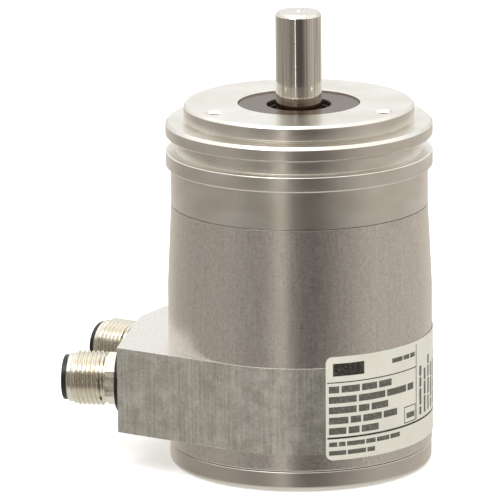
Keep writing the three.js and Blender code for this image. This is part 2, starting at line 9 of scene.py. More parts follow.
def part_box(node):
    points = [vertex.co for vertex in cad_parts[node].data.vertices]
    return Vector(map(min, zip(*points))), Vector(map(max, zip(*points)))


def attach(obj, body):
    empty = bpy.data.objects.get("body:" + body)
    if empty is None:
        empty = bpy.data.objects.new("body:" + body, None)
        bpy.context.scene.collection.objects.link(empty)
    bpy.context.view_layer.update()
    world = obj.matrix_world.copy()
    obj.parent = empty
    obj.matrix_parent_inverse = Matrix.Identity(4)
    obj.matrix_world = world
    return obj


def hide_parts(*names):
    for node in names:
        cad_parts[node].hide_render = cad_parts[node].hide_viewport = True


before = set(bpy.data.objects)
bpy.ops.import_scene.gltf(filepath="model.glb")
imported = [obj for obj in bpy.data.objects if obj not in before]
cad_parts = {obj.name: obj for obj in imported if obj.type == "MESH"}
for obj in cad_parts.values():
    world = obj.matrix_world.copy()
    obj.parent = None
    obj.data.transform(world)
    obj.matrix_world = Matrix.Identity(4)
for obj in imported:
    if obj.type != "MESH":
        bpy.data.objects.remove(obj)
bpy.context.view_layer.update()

# Lengths below are in millimetres; Blender's unit is the metre.
MM = 0.001


def span(node):
    """Lowest and highest corner of a CAD node, in millimetres."""
    low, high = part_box(node)
    return low / MM, high / MM


# ---- Sizes taken from the frame ----
FLANGE_BOTTOM = span("flange")[0].z
SPIGOT_TOP = span("flange")[1].z
FLANGE_R = span("flange")[1].x
HOUSING_BOTTOM = span("housing")[0].z
JOINT_Z = span("housing")[1].z
HOUSING_R = span("housing")[1].x
CAP_R = span("end_cap")[1].x
CAP_PLUG_TOP = span("end_cap")[1].z
SHAFT_TOP = span("shaft")[1].z
SHAFT_BOTTOM = span("shaft")[0].z
COVER_R = span("seal_cover")[1].x
COVER_BOTTOM, COVER_TOP = span("seal_cover")[0].z, span("seal_cover")[1].z
LABEL_BOTTOM, LABEL_TOP = span("label")[0].z, span("label")[1].z

# ---- Sizes of the flange, from the spigot's face downwards ----
SPIGOT_R = 25.0
SPIGOT_H = 3.7
DISC_T = 3.3
GROOVE_H = 3.2
GROOVE_R = 26.5
RING_T = 3.4
BARREL_R = 27.94
JOINT_GAP = 0.12
RING_EDGE = 0.3
GROOVE_EDGE = 0.38
DISC_CHAMFER = {"across": 0.55, "along": 0.7}
SPIGOT_CHAMFER = {"across": 0.5, "along": 0.6}
# Relief turned at the spigot's root, so that a mating plate sits flat on the disc.
RELIEF_DEPTH = 0.28
RELIEF_START = 0.12
RELIEF_END = 0.42
COVER_SEAT_R = 13.25
COVER_SEAT_DEPTH = 1.3
BEARING_SEAT_R = 13.0
FLANGE_PLUG_R = 25.85
FLANGE_PLUG_BOTTOM = 53.0
HUB_R = 14.4
BOLT_CIRCLE_R = 21.0
BOLT_HOLE_R = 1.6
BOLT_SINK_R = 2.1
BOLT_DEPTH = 9.0
BOLT_POINT = 1.0
BOLT_ANGLES = (90, 210, 330)

# ---- Housing and block ----
# The round body is skimmed on a lathe above and below the block, to a hair less than its size.
TURNED_R = HOUSING_R - 0.05
BORE_R = 26.0
CONE_BOTTOM = 39.7
CAP_TOP = 4.5
CAP_PLUG_R = 25.7
CAP_PLUG_BORE_R = 19.6
BLOCK_BOTTOM = 8.4
BLOCK_TOP = 27.5
FRONT_FACET = (171.0, 37.9)
REAR_FACET = (149.2, 39.7)
FRONT_SIDE_ANGLE = 239.0
REAR_SIDE_ANGLE = 81.0
STEM_HOLE_R = 5.2

TIE_CIRCLE_R = 22.6
TIE_ANGLES = (30, 150, 270)
TIE_SEAT_R = 3.1
TIE_SEAT_Z = 3.2
TIE_HOLE_R = 1.7
TIE_HEAD_R = 2.75
TIE_SHANK_R = 1.45
TIE_SOCKET_R = 1.42

SHAFT_R = 5.0
SHAFT_TAIL_R = 2.5
SHAFT_TAIL_TOP = 43.5
SHAFT_CLIP_R = 4.6
SHAFT_CLIP_Z = (50.9, 52.0)
SHAFT_SHOULDER_R = 6.6
SHAFT_SHOULDER_Z = (60.15, 66.05)
SHAFT_CHAMFER = {"across": 0.5, "along": 0.85}

SEAL_LIP_Z = (75.7, 76.1)
SEAL_BACK_R = 5.6
SEAL_MOUTH_R = 6.4

# ---- Connector, along its own axis from the facet outwards ----
CONNECTOR_ANGLES = {"front": FRONT_FACET[0], "rear": REAR_FACET[0]}
# How much further out the thread, the insert and the pins stand, on a longer neck.
CONNECTOR_LIFT = {"front": 0.0, "rear": 1.9}
GASKET_R = 7.3
GASKET_T = 1.6
NECK_END = 4.1
NECK_FLATS = 10.6
THREAD_START = 4.35
THREAD_END = 11.6
THREAD_R = 6.0
THREAD_DEPTH = 0.58
THREAD_PITCH = 1.0
THREAD_RUN_IN = 0.35
THREAD_RUN_OUT = 0.9
# Share of the thread's depth at a crest's middle, before it is cut flat at 1, and how fast it falls.
CREST_TOP = 1.18
FLANK_SLOPE = 2.9
# The hexagon's corners are turned down to this many times its inner radius.
NECK_CORNER = 1.13
SHELL_END = 12.6
SHELL_BORE_R = 5.05
INSERT_R = 4.98
INSERT_END = 13.8
CAVITY_R = 4.3
CAVITY_DEPTH = 8.5
INSERT_BASE = 2.3
KEY_HEIGHT = 0.7
KEY_FOOT, KEY_TIP = 0.5, 0.4
PIN_R = 0.5
PIN_CIRCLE_R = 2.75
PIN_TIP = 12.3
STEM_R = 4.9
STEM_END = -9.0
WIRE_WAY_R = 3.6
SOCKET_FLOOR = INSERT_END - CAVITY_DEPTH - 2.5

ROUND_SIDES = 192


# ---- Mesh helpers ----
def direction(angle):
    """Unit vector in plan at an angle in degrees from +X."""
    return Vector((math.cos(math.radians(angle)), math.sin(math.radians(angle)), 0.0))


def new_piece(name, mesh):
    piece = bpy.data.objects.new(name, mesh)
    bpy.context.scene.collection.objects.link(piece)
    return piece


def mesh_of(name, points, faces):
    """A mesh from points in millimetres."""
    mesh = bpy.data.meshes.new(name)
    mesh.from_pydata([Vector(p) * MM for p in points], [], faces)
    cleaned = bmesh.new()
    cleaned.from_mesh(mesh)
    bmesh.ops.remove_doubles(cleaned, verts=cleaned.verts, dist=1e-4 * MM)
    bmesh.ops.dissolve_degenerate(cleaned, edges=cleaned.edges, dist=1e-4 * MM)
    bmesh.ops.recalc_face_normals(cleaned, faces=cleaned.faces)
    cleaned.to_mesh(mesh)
    cleaned.free()
    return mesh


def arc_corner(before, corner, after, radius, steps):
    """Points that round one corner of a flat outline with the given radius."""
    a = (Vector(before) - Vector(corner)).normalized()
    b = (Vector(after) - Vector(corner)).normalized()
    half = a.angle(b) / 2
    reach = radius / math.tan(half)
    centre = Vector(corner) + (a + b).normalized() * (radius / math.sin(half))
    start = Vector(corner) + a * reach - centre
    end = Vector(corner) + b * reach - centre
    turn = start.angle_signed(end)
    points = []
    for i in range(steps + 1):
        spin = Matrix.Rotation(-turn * i / steps, 2)
        points.append(tuple(centre + spin @ start))
    return points


def rounded(outline, steps=4):
    """A closed outline of (x, y) or (x, y, radius) corners, with the marked corners rounded."""
    points = []
    for i, corner in enumerate(outline):
        if len(corner) == 2:
            points.append(corner)
            continue
        before = outline[i - 1][:2]
        after = outline[(i + 1) % len(outline)][:2]
        points += arc_corner(before, corner[:2], after, corner[2], steps)
    return points


def turned(name, outline, sides=ROUND_SIDES, radius_at=None):
    """A body turned about Z from a closed outline of (radius, z) points.

    radius_at(radius, z, angle) may change a point's radius as it goes round.
    """
    shape = radius_at or (lambda radius, z, angle: radius)
    points = []
    for k in range(sides):
        angle = 2 * math.pi * k / sides
        for radius, z in outline:
            r = shape(radius, z, angle)
            points.append((r * math.cos(angle), r * math.sin(angle), z))
    count = len(outline)
    faces = []
    for k in range(sides):
        this, following = k * count, ((k + 1) % sides) * count
        for i in range(count):
            j = (i + 1) % count
            faces.append((this + i, following + i, following + j, this + j))
    return mesh_of(name, points, faces)


def prism(name, outline, bottom, top):
    """An upright body with the given closed outline in plan."""
    count = len(outline)
    points = [(x, y, bottom) for x, y in outline] + [(x, y, top) for x, y in outline]
    faces = [tuple(range(count)), tuple(range(count, 2 * count))]
    for i in range(count):
        j = (i + 1) % count
        faces.append((i, j, count + j, count + i))
    return mesh_of(name, points, faces)


def shift(mesh, offset):
    mesh.transform(Matrix.Translation(Vector(offset) * MM))
    return mesh


def combined(base, tool, operation):
    """The mesh of base joined with or cut by tool."""
    target = new_piece("target", base)
    other = new_piece("tool", tool)
    modifier = target.modifiers.new("combine", "BOOLEAN")
    modifier.object = other
    modifier.operation = operation
    modifier.solver = "MANIFOLD"
    graph = bpy.context.evaluated_depsgraph_get()
    result = bpy.data.meshes.new_from_object(target.evaluated_get(graph))
    result.name = base.name
    bpy.data.objects.remove(target)
    bpy.data.objects.remove(other)
    return result


def cut(base, *tools):
    for tool in tools:
        base = combined(base, tool, "DIFFERENCE")
    return base


def smooth(piece, sharp_angle=32):
    """Smooth shading that stays crisp where faces meet at more than the sharp angle."""
    mesh = piece.data
    mesh.polygons.foreach_set("use_smooth", [True] * len(mesh.polygons))
    mesh.set_sharp_from_angle(angle=math.radians(sharp_angle))
    weighted = piece.modifiers.new("even_normals", "WEIGHTED_NORMAL")
    weighted.keep_sharp = True
    weighted.weight = 90
    return piece


def place(mesh, body, slot, material, *nodes):
    """Shows a mesh as a finished piece on a body, in the place of CAD nodes."""
    piece = new_piece(mesh.name, mesh)
    if material is not None:
        mesh.materials.clear()
        mesh.materials.append(material)
    smooth(piece)
    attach(piece, body)
    if nodes:
        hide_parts(*nodes)
    return piece


# ---- Material helpers ----
def linear(colour):
    """sRGB hex to linear RGBA."""
    values = [int(colour[i:i + 2], 16) / 255 for i in (1, 3, 5)]
    curve = [v / 12.92 if v <= 0.04045 else ((v + 0.055) / 1.055) ** 2.4 for v in values]
    return (*curve, 1.0)


def add(tree, kind, inputs=None, **settings):
    """Adds a node, with its settings, its input values and its links."""
    node = tree.nodes.new(kind)
    for name, value in settings.items():
        setattr(node, name, value)
    for name, value in (inputs or {}).items():
        if isinstance(value, bpy.types.NodeSocket):
            tree.links.new(value, node.inputs[name])
        else:
            node.inputs[name].default_value = value
    return node


def new_material(name):
    """A material with an empty node tree, and its position in millimetres for the patterns."""
    material = bpy.data.materials.new(name)
    material.use_nodes = True
    tree = material.node_tree
    tree.nodes.clear()
    place_in_object = add(tree, "ShaderNodeTexCoord").outputs["Object"]
    scaled = add(
        tree, "ShaderNodeVectorMath", {0: place_in_object, "Scale": 1 / MM}, operation="SCALE",
    )
    return material, tree, scaled.outputs["Vector"]


def finished(material, **sockets):
    """Ends a material with its one Principled shader; sockets are named as on the shader."""
    tree = material.node_tree
    inputs = {name.replace("_", " "): value for name, value in sockets.items()}
    shader = add(tree, "ShaderNodeBsdfPrincipled", inputs)
    add(tree, "ShaderNodeOutputMaterial", {"Surface": shader.outputs[0]})
    return material


def lathe_lines(tree, position, pitch_mm, drift_mm):
    """Fine rings left by a lathe tool, on faces across the axis as well as along it.

    Real ones lie about 0.1 mm apart, which is too fine to show, so they are drawn coarser.
    """
    parts = add(tree, "ShaderNodeSeparateXYZ", {0: position})
    flat = add(tree, "ShaderNodeCombineXYZ", {0: parts.outputs[0], 1: parts.outputs[1]})
    radius = add(tree, "ShaderNodeVectorMath", {0: flat.outputs[0]}, operation="LENGTH")
    slow = {0: flat.outputs[0], "Scale": pitch_mm / drift_mm}
    drift = add(tree, "ShaderNodeVectorMath", slow, operation="SCALE")
    across = {0: radius.outputs["Value"], 1: parts.outputs[2]}
    rings = add(tree, "ShaderNodeCombineXYZ", across)
    total = add(tree, "ShaderNodeVectorMath", {0: rings.outputs[0], 1: drift.outputs[0]})
    pattern = {"Vector": total.outputs[0], "Scale": 1 / pitch_mm, "Detail": 3.0}
    return add(tree, "ShaderNodeTexNoise", pattern).outputs[0]


# ---- Materials ----
# Noise scales are cells per millimetre, and a bump's distance is the height of its relief.
# Grain and tool marks finer than about 0.2 mm wouldn't show, so they are drawn about that coarse.
def turned_aluminium():
    """Bare turned aluminium: a warm satin grey with fine tool rings and faint handling smears."""
    material, tree, position = new_material("turned_aluminium")
    rings = lathe_lines(tree, position, pitch_mm=0.35, drift_mm=60)
    broad = lathe_lines(tree, position, pitch_mm=1.6, drift_mm=80)
    long = {0: position, 1: (0.10, 0.10, 0.22)}
    along = add(tree, "ShaderNodeVectorMath", long, operation="MULTIPLY").outputs[0]
    smears = add(tree, "ShaderNodeTexNoise", {"Vector": along, "Scale": 1.0, "Detail": 4.0})
    spread = {"Value": smears.outputs[0], 1: 0.35, 2: 0.65, 3: 0.0, 4: 1.0}
    factor = add(tree, "ShaderNodeMapRange", spread).outputs[0]
    tint = {0: factor, 6: linear("#E2DCD2"), 7: linear("#EEEAE3")}
    colour = add(tree, "ShaderNodeMix", tint, data_type="RGBA").outputs[2]
    sheen = {"Value": broad, 1: 0.3, 2: 0.7, 3: 0.27, 4: 0.33}
    rough = add(tree, "ShaderNodeMapRange", sheen).outputs[0]
    fine = {"Height": rings, "Strength": 0.5, "Distance": 0.012 * MM}
    first = add(tree, "ShaderNodeBump", fine).outputs[0]
    grain = add(tree, "ShaderNodeTexNoise", {"Vector": position, "Scale": 1.6, "Detail": 4.0})
    skin = {"Height": grain.outputs[0], "Strength": 0.3, "Distance": 0.012 * MM, "Normal": first}
    normal = add(tree, "ShaderNodeBump", skin).outputs[0]
    return finished(material, Base_Color=colour, Metallic=1.0, Roughness=rough, Normal=normal)


def extruded_aluminium():
    """Bare extruded aluminium: duller, with faint upright die lines and a mottled skin."""
    material, tree, position = new_material("extruded_aluminium")
    upright = {0: position, 1: (2.2, 2.2, 0.05)}
    drawn = add(tree, "ShaderNodeVectorMath", upright, operation="MULTIPLY").outputs[0]
    die = add(tree, "ShaderNodeTexNoise", {"Vector": drawn, "Scale": 1.0, "Detail": 4.0}).outputs[0]
    skin = {"Vector": position, "Scale": 2.0, "Detail": 4.0, "Roughness": 0.65}
    mottle = add(tree, "ShaderNodeTexNoise", skin).outputs[0]
    patches = add(tree, "ShaderNodeTexNoise", {"Vector": position, "Scale": 0.3, "Detail": 3.0})
    strong = add(tree, "ShaderNodeMath", {0: die, 1: 0.8}, operation="MULTIPLY").outputs[0]
    some = add(tree, "ShaderNodeMath", {0: strong, 1: mottle}, operation="ADD").outputs[0]
    total = add(tree, "ShaderNodeMath", {0: some, 1: patches.outputs[0]}, operation="ADD").outputs[0]
    spread = {"Value": total, 1: 1.1, 2: 1.65, 3: 0.0, 4: 1.0}
    factor = add(tree, "ShaderNodeMapRange", spread).outputs[0]
    tint = {0: factor, 6: linear("#CAC8BC"), 7: linear("#F6F5ED")}
    skin_colour = add(tree, "ShaderNodeMix", tint, data_type="RGBA").outputs[2]
    holes = {"Vector": position, "Scale": 1.7, "Detail": 2.0}
    pits = add(tree, "ShaderNodeTexNoise", holes).outputs[0]
    rare = {"Value": pits, 1: 0.24, 2: 0.32, 3: 0.6, 4: 1.0}
    spots = add(tree, "ShaderNodeMapRange", rare).outputs[0]
    darken = {0: spots, 6: linear("#98948A"), 7: skin_colour}
    colour = add(tree, "ShaderNodeMix", darken, data_type="RGBA").outputs[2]
    sheen = {"Value": mottle, 1: 0.3, 2: 0.7, 3: 0.34, 4: 0.48}
    rough = add(tree, "ShaderNodeMapRange", sheen).outputs[0]
    lines = {"Height": die, "Strength": 0.35, "Distance": 0.03 * MM}
    first = add(tree, "ShaderNodeBump", lines).outputs[0]
    grain = {"Height": mottle, "Strength": 0.5, "Distance": 0.03 * MM, "Normal": first}
    normal = add(tree, "ShaderNodeBump", grain).outputs[0]
    return finished(material, Base_Color=colour, Metallic=1.0, Roughness=rough, Normal=normal)


def skimmed_aluminium():
    """Extruded tube skimmed on a lathe: satin, mottled, with traces of the upright die lines."""
    material, tree, position = new_material("skimmed_aluminium")
    rings = lathe_lines(tree, position, pitch_mm=0.35, drift_mm=60)
    skin = {"Vector": position, "Scale": 1.6, "Detail": 4.0, "Roughness": 0.65}
    mottle = add(tree, "ShaderNodeTexNoise", skin).outputs[0]
    upright = {0: position, 1: (1.8, 1.8, 0.06)}
    drawn = add(tree, "ShaderNodeVectorMath", upright, operation="MULTIPLY").outputs[0]
    die = add(tree, "ShaderNodeTexNoise", {"Vector": drawn, "Scale": 1.0, "Detail": 3.0}).outputs[0]
    faint = add(tree, "ShaderNodeMath", {0: die, 1: 0.35}, operation="MULTIPLY").outputs[0]
    total = add(tree, "ShaderNodeMath", {0: faint, 1: mottle}, operation="ADD").outputs[0]
    spread = {"Value": total, 1: 0.45, 2: 0.9, 3: 0.0, 4: 1.0}
    factor = add(tree, "ShaderNodeMapRange", spread).outputs[0]
    tint = {0: factor, 6: linear("#D5CEC5"), 7: linear("#F3EFE9")}
    colour = add(tree, "ShaderNodeMix", tint, data_type="RGBA").outputs[2]
    sheen = {"Value": mottle, 1: 0.3, 2: 0.7, 3: 0.27, 4: 0.36}
    rough = add(tree, "ShaderNodeMapRange", sheen).outputs[0]
    fine = {"Height": rings, "Strength": 0.3, "Distance": 0.01 * MM}
    first = add(tree, "ShaderNodeBump", fine).outputs[0]
    lines = {"Height": die, "Strength": 0.12, "Distance": 0.015 * MM, "Normal": first}
    second = add(tree, "ShaderNodeBump", lines).outputs[0]
    grain = {"Height": mottle, "Strength": 0.5, "Distance": 0.025 * MM, "Normal": second}
    normal = add(tree, "ShaderNodeBump", grain).outputs[0]
    return finished(material, Base_Color=colour, Metallic=1.0, Roughness=rough, Normal=normal)


def milled_aluminium():
    """Freshly milled aluminium: light, with the faint overlapping arcs of an end mill."""
    material, tree, position = new_material("milled_aluminium")
    sweep = {"Vector": position, "Scale": 0.35, "Distortion": 1.5, "Detail": 2.0}
    arcs = add(tree, "ShaderNodeTexWave", sweep, wave_type="RINGS", rings_direction="Z")
    grain = add(tree, "ShaderNodeTexNoise", {"Vector": position, "Scale": 1.4, "Detail": 3.0})
    tint = {0: grain.outputs[0], 6: linear("#EBEAE4"), 7: linear("#FAF9F6")}
    colour = add(tree, "ShaderNodeMix", tint, data_type="RGBA").outputs[2]
    tool = {"Height": arcs.outputs[1], "Strength": 0.2, "Distance": 0.01 * MM}
    first = add(tree, "ShaderNodeBump", tool).outputs[0]
    skin = {"Height": grain.outputs[0], "Strength": 0.25, "Distance": 0.012 * MM, "Normal": first}
    normal = add(tree, "ShaderNodeBump", skin).outputs[0]
    return finished(material, Base_Color=colour, Metallic=1.0, Roughness=0.3, Normal=normal)


def turned_cap_aluminium():
    """The end cap's bare aluminium: turned as the flange is, a little darker and smoother."""
    material, tree, position = new_material("cap_aluminium")
    rings = lathe_lines(tree, position, pitch_mm=0.4, drift_mm=60)
    long = {0: position, 1: (0.12, 0.12, 0.3)}
    along = add(tree, "ShaderNodeVectorMath", long, operation="MULTIPLY").outputs[0]
    smears = add(tree, "ShaderNodeTexNoise", {"Vector": along, "Scale": 1.0, "Detail": 4.0})
    tint = {0: smears.outputs[0], 6: linear("#D2CBC2"), 7: linear("#E6E1D9")}
    colour = add(tree, "ShaderNodeMix", tint, data_type="RGBA").outputs[2]
    fine = {"Height": rings, "Strength": 0.4, "Distance": 0.01 * MM}
    normal = add(tree, "ShaderNodeBump", fine).outputs[0]
    return finished(material, Base_Color=colour, Metallic=1.0, Roughness=0.32, Normal=normal)


def ground_steel():
    """Ground stainless steel: bright, with very fine rings, and upright streaks along the shaft that
    are painted reflection streaks in the colour and faint rub marks in the bump.
    """
    material, tree, position = new_material("ground_steel")
    rings = lathe_lines(tree, position, pitch_mm=0.3, drift_mm=90)
    sheen = {"Value": rings, 1: 0.3, 2: 0.7, 3: 0.07, 4: 0.12}
    rough = add(tree, "ShaderNodeMapRange", sheen).outputs[0]
    # Upright streaks: painted reflection streaks, darker and lighter in the colour along the shaft;
    # the same noise also raises faint rub marks in the bump.
    upright = {0: position, 1: (2.6, 2.6, 0.03)}
    drawn = add(tree, "ShaderNodeVectorMath", upright, operation="MULTIPLY").outputs[0]
    mark_noise = add(tree, "ShaderNodeTexNoise", {"Vector": drawn, "Scale": 1.0, "Detail": 2.0})
    painted_streaks = {"Value": mark_noise.outputs[0], 1: 0.35, 2: 0.6, 3: 0.0, 4: 1.0}
    factor = add(tree, "ShaderNodeMapRange", painted_streaks).outputs[0]
    tint = {0: factor, 6: linear("#CBC4B9"), 7: linear("#EEE9E1")}
    colour = add(tree, "ShaderNodeMix", tint, data_type="RGBA").outputs[2]
    rubbed = {"Height": mark_noise.outputs[0], "Strength": 0.2, "Distance": 0.012 * MM}
    first = add(tree, "ShaderNodeBump", rubbed).outputs[0]
    fine = {"Height": rings, "Strength": 0.2, "Distance": 0.003 * MM, "Normal": first}
    normal = add(tree, "ShaderNodeBump", fine).outputs[0]
    return finished(material, Base_Color=colour, Metallic=1.0, Roughness=rough, Normal=normal)


def bearing_steel():
    """Polished bearing steel: mirror-bright, with a trace of grinding."""
    material, tree, position = new_material("bearing_steel")
    grind = lathe_lines(tree, position, pitch_mm=0.3, drift_mm=50)
    fine = {"Height": grind, "Strength": 0.2, "Distance": 0.004 * MM}
    normal = add(tree, "ShaderNodeBump", fine).outputs[0]
    colour = linear("#D8D6D2")
    return finished(material, Base_Color=colour, Metallic=1.0, Roughness=0.14, Normal=normal)


def spring_steel():
    """Blackened, oiled spring steel and socket screws: dark grey with an uneven sheen."""
    material, tree, position = new_material("spring_steel")
    cloud = {"Vector": position, "Scale": 1.2, "Detail": 4.0}
    mottle = add(tree, "ShaderNodeTexNoise", cloud).outputs[0]
    tint = {0: mottle, 6: linear("#565452"), 7: linear("#807E7B")}
    colour = add(tree, "ShaderNodeMix", tint, data_type="RGBA").outputs[2]
    fine = {"Height": mottle, "Strength": 0.2, "Distance": 0.01 * MM}
    normal = add(tree, "ShaderNodeBump", fine).outputs[0]
    return finished(material, Base_Color=colour, Metallic=1.0, Roughness=0.34, Normal=normal)


def black_lacquer():
    """Brown-black lacquered steel disc: satin gloss, with a fine orange peel."""
    material, tree, position = new_material("black_lacquer")
    ripple = {"Vector": position, "Scale": 1.6, "Detail": 2.0}
    peel = add(tree, "ShaderNodeTexNoise", ripple).outputs[0]
    sheen = {"Value": peel, 1: 0.3, 2: 0.7, 3: 0.18, 4: 0.28}
    rough = add(tree, "ShaderNodeMapRange", sheen).outputs[0]
    fine = {"Height": peel, "Strength": 0.15, "Distance": 0.006 * MM}
    normal = add(tree, "ShaderNodeBump", fine).outputs[0]
    colour = linear("#4C3A2A")
    return finished(material, Base_Color=colour, IOR=1.33, Roughness=rough, Normal=normal)


def nitrile_rubber():
    """Black nitrile rubber: soft satin black with a fine moulded grain."""
    material, tree, position = new_material("nitrile_rubber")
    grain = add(tree, "ShaderNodeTexNoise", {"Vector": position, "Scale": 4.0, "Detail": 3.0})
    tint = {0: grain.outputs[0], 6: linear("#100E0C"), 7: linear("#1D1A17")}
    colour = add(tree, "ShaderNodeMix", tint, data_type="RGBA").outputs[2]
    fine = {"Height": grain.outputs[0], "Strength": 0.3, "Distance": 0.01 * MM}
    normal = add(tree, "ShaderNodeBump", fine).outputs[0]
    return finished(material, Base_Color=colour, Roughness=0.55, Normal=normal)


def nickel_plate():
    """Nickel-plated brass: bright with a warm cast, slightly uneven from the plating bath."""
    material, tree, position = new_material("nickel_plate")
    bath = {"Vector": position, "Scale": 0.6, "Detail": 3.0}
    cloud = add(tree, "ShaderNodeTexNoise", bath).outputs[0]
    tint = {0: cloud, 6: linear("#D6CFBF"), 7: linear("#EDE8DC")}
    colour = add(tree, "ShaderNodeMix", tint, data_type="RGBA").outputs[2]
    sheen = {"Value": cloud, 1: 0.3, 2: 0.7, 3: 0.13, 4: 0.22}
    rough = add(tree, "ShaderNodeMapRange", sheen).outputs[0]
    grain = add(tree, "ShaderNodeTexNoise", {"Vector": position, "Scale": 5.0, "Detail": 2.0})
    fine = {"Height": grain.outputs[0], "Strength": 0.12, "Distance": 0.004 * MM}
    normal = add(tree, "ShaderNodeBump", fine).outputs[0]
    return finished(material, Base_Color=colour, Metallic=1.0, Roughness=rough, Normal=normal)


def moulded_plastic(name, dark, light, roughness):
    """Moulded engineering plastic: even colour, satin skin with a fine spark-eroded grain."""
    material, tree, position = new_material(name)
    flow = add(tree, "ShaderNodeTexNoise", {"Vector": position, "Scale": 0.3, "Detail": 2.0})
    tint = {0: flow.outputs[0], 6: linear(dark), 7: linear(light)}
    colour = add(tree, "ShaderNodeMix", tint, data_type="RGBA").outputs[2]
    grain = add(tree, "ShaderNodeTexNoise", {"Vector": position, "Scale": 6.0, "Detail": 2.0})
    fine = {"Height": grain.outputs[0], "Strength": 0.2, "Distance": 0.006 * MM}
    normal = add(tree, "ShaderNodeBump", fine).outputs[0]
    return finished(material, Base_Color=colour, Roughness=roughness, Normal=normal)


def gold_plate():
    """Gold-plated contact: warm yellow and bright, with a fine grain."""
    material, tree, position = new_material("gold_plate")
    grain = add(tree, "ShaderNodeTexNoise", {"Vector": position, "Scale": 4.0, "Detail": 2.0})
    fine = {"Height": grain.outputs[0], "Strength": 0.1, "Distance": 0.003 * MM}
    normal = add(tree, "ShaderNodeBump", fine).outputs[0]
    colour = linear("#E8C06A")
    return finished(material, Base_Color=colour, Metallic=1.0, Roughness=0.18, Normal=normal)


def turned_brass():
    """Bare turned brass: yellow, satin, with tool rings."""
    material, tree, position = new_material("turned_brass")
    rings = lathe_lines(tree, position, pitch_mm=0.3, drift_mm=50)
    fine = {"Height": rings, "Strength": 0.4, "Distance": 0.008 * MM}
    normal = add(tree, "ShaderNodeBump", fine).outputs[0]
    colour = linear("#C9A45C")
    return finished(material, Base_Color=colour, Metallic=1.0, Roughness=0.25, Normal=normal)


def disc_glass():
    """Optical glass: clear, slightly grey-green, with a smooth polished face."""
    material, tree, position = new_material("disc_glass")
    ripple = add(tree, "ShaderNodeTexNoise", {"Vector": position, "Scale": 0.4, "Detail": 1.0})
    fine = {"Height": ripple.outputs[0], "Strength": 0.02, "Distance": 0.002 * MM}
    normal = add(tree, "ShaderNodeBump", fine).outputs[0]
    clear = {"Roughness": 0.04, "IOR": 1.52, "Transmission_Weight": 0.85}
    return finished(material, Base_Color=linear("#DCE6E4"), Normal=normal, **clear)


def sintered_magnet():
    """Nickel-coated sintered magnet: grey and slightly rough."""
    material, tree, position = new_material("sintered_magnet")
    grain = add(tree, "ShaderNodeTexNoise", {"Vector": position, "Scale": 4.0, "Detail": 4.0})
    fine = {"Height": grain.outputs[0], "Strength": 0.3, "Distance": 0.01 * MM}
    normal = add(tree, "ShaderNodeBump", fine).outputs[0]
    colour = linear("#8C8B88")
    return finished(material, Base_Color=colour, Metallic=1.0, Roughness=0.32, Normal=normal)


def circuit_lacquer():
    """Green solder mask: glossy, with the copper tracks showing as lighter lines."""
    material, tree, position = new_material("circuit_lacquer")
    cells = {"Vector": position, "Scale": 0.45}
    borders = {"feature": "DISTANCE_TO_EDGE", "distance": "MANHATTAN"}
    tracks = add(tree, "ShaderNodeTexVoronoi", cells, **borders)
    edge = {"Value": tracks.outputs["Distance"], 1: 0.03, 2: 0.05, 3: 1.0, 4: 0.0}
    line = add(tree, "ShaderNodeMapRange", edge).outputs[0]
    tint = {0: line, 6: linear("#174A2F"), 7: linear("#2C7A4D")}
    colour = add(tree, "ShaderNodeMix", tint, data_type="RGBA").outputs[2]
    raised = {"Height": line, "Strength": 0.3, "Distance": 0.03 * MM}
    normal = add(tree, "ShaderNodeBump", raised).outputs[0]
    return finished(material, Base_Color=colour, Roughness=0.28, Normal=normal)


def label_film():
    """White polyester label film: satin off-white, faintly clouded by handling."""
    material, tree, position = new_material("label_film")
    cloud = add(tree, "ShaderNodeTexNoise", {"Vector": position, "Scale": 0.15, "Detail": 4.0})
    tint = {0: cloud.outputs[0], 6: linear("#C8C6BA"), 7: linear("#D8D6CB")}
    colour = add(tree, "ShaderNodeMix", tint, data_type="RGBA").outputs[2]
    grain = add(tree, "ShaderNodeTexNoise", {"Vector": position, "Scale": 3.0, "Detail": 2.0})
    fine = {"Height": grain.outputs[0], "Strength": 0.15, "Distance": 0.006 * MM}
    normal = add(tree, "ShaderNodeBump", fine).outputs[0]
    return finished(material, Base_Color=colour, Roughness=0.42, Normal=normal)


def printing_ink(name, solid, worn):
    """Black transfer print: matt, a little worn so that the film shows through."""
    material, tree, position = new_material(name)
    mark_noise = add(tree, "ShaderNodeTexNoise", {"Vector": position, "Scale": 2.0, "Detail": 3.0})
    spread = {"Value": mark_noise.outputs[0], 1: 0.5, 2: 0.75, 3: 0.0, 4: 1.0}
    factor = add(tree, "ShaderNodeMapRange", spread).outputs[0]
    tint = {0: factor, 6: linear(solid), 7: linear(worn)}
    colour = add(tree, "ShaderNodeMix", tint, data_type="RGBA").outputs[2]
    return finished(material, Base_Color=colour, Roughness=0.5)


ALUMINIUM = turned_aluminium()
SKIMMED = skimmed_aluminium()
PROFILE = extruded_aluminium()
MILLED = milled_aluminium()
CAP_METAL = turned_cap_aluminium()
STEEL = ground_steel()
BEARING = bearing_steel()
SPRING = spring_steel()
LACQUER = black_lacquer()
RUBBER = nitrile_rubber()
NICKEL = nickel_plate()
INSERT = moulded_plastic("insert_plastic", "#14110D", "#1E1A15", 0.38)
DARK = moulded_plastic("dark_plastic", "#202022", "#2E2E31", 0.45)
GEAR = moulded_plastic("gear_plastic", "#D9D4C4", "#E8E4D8", 0.42)
CAGE = moulded_plastic("cage_plastic", "#C8BC98", "#DDD3B2", 0.45)
LEAD = moulded_plastic("lead_jacket", "#2C3038", "#3A3F48", 0.5)
GOLD = gold_plate()
BRASS = turned_brass()
GLASS = disc_glass()
MAGNET = sintered_magnet()
BOARD = circuit_lacquer()
FILM = label_film()
INK = printing_ink("printing_ink", "#25231F", "#5C5850")
FAINT_INK = printing_ink("faint_printing_ink", "#54514A", "#7E7A70")


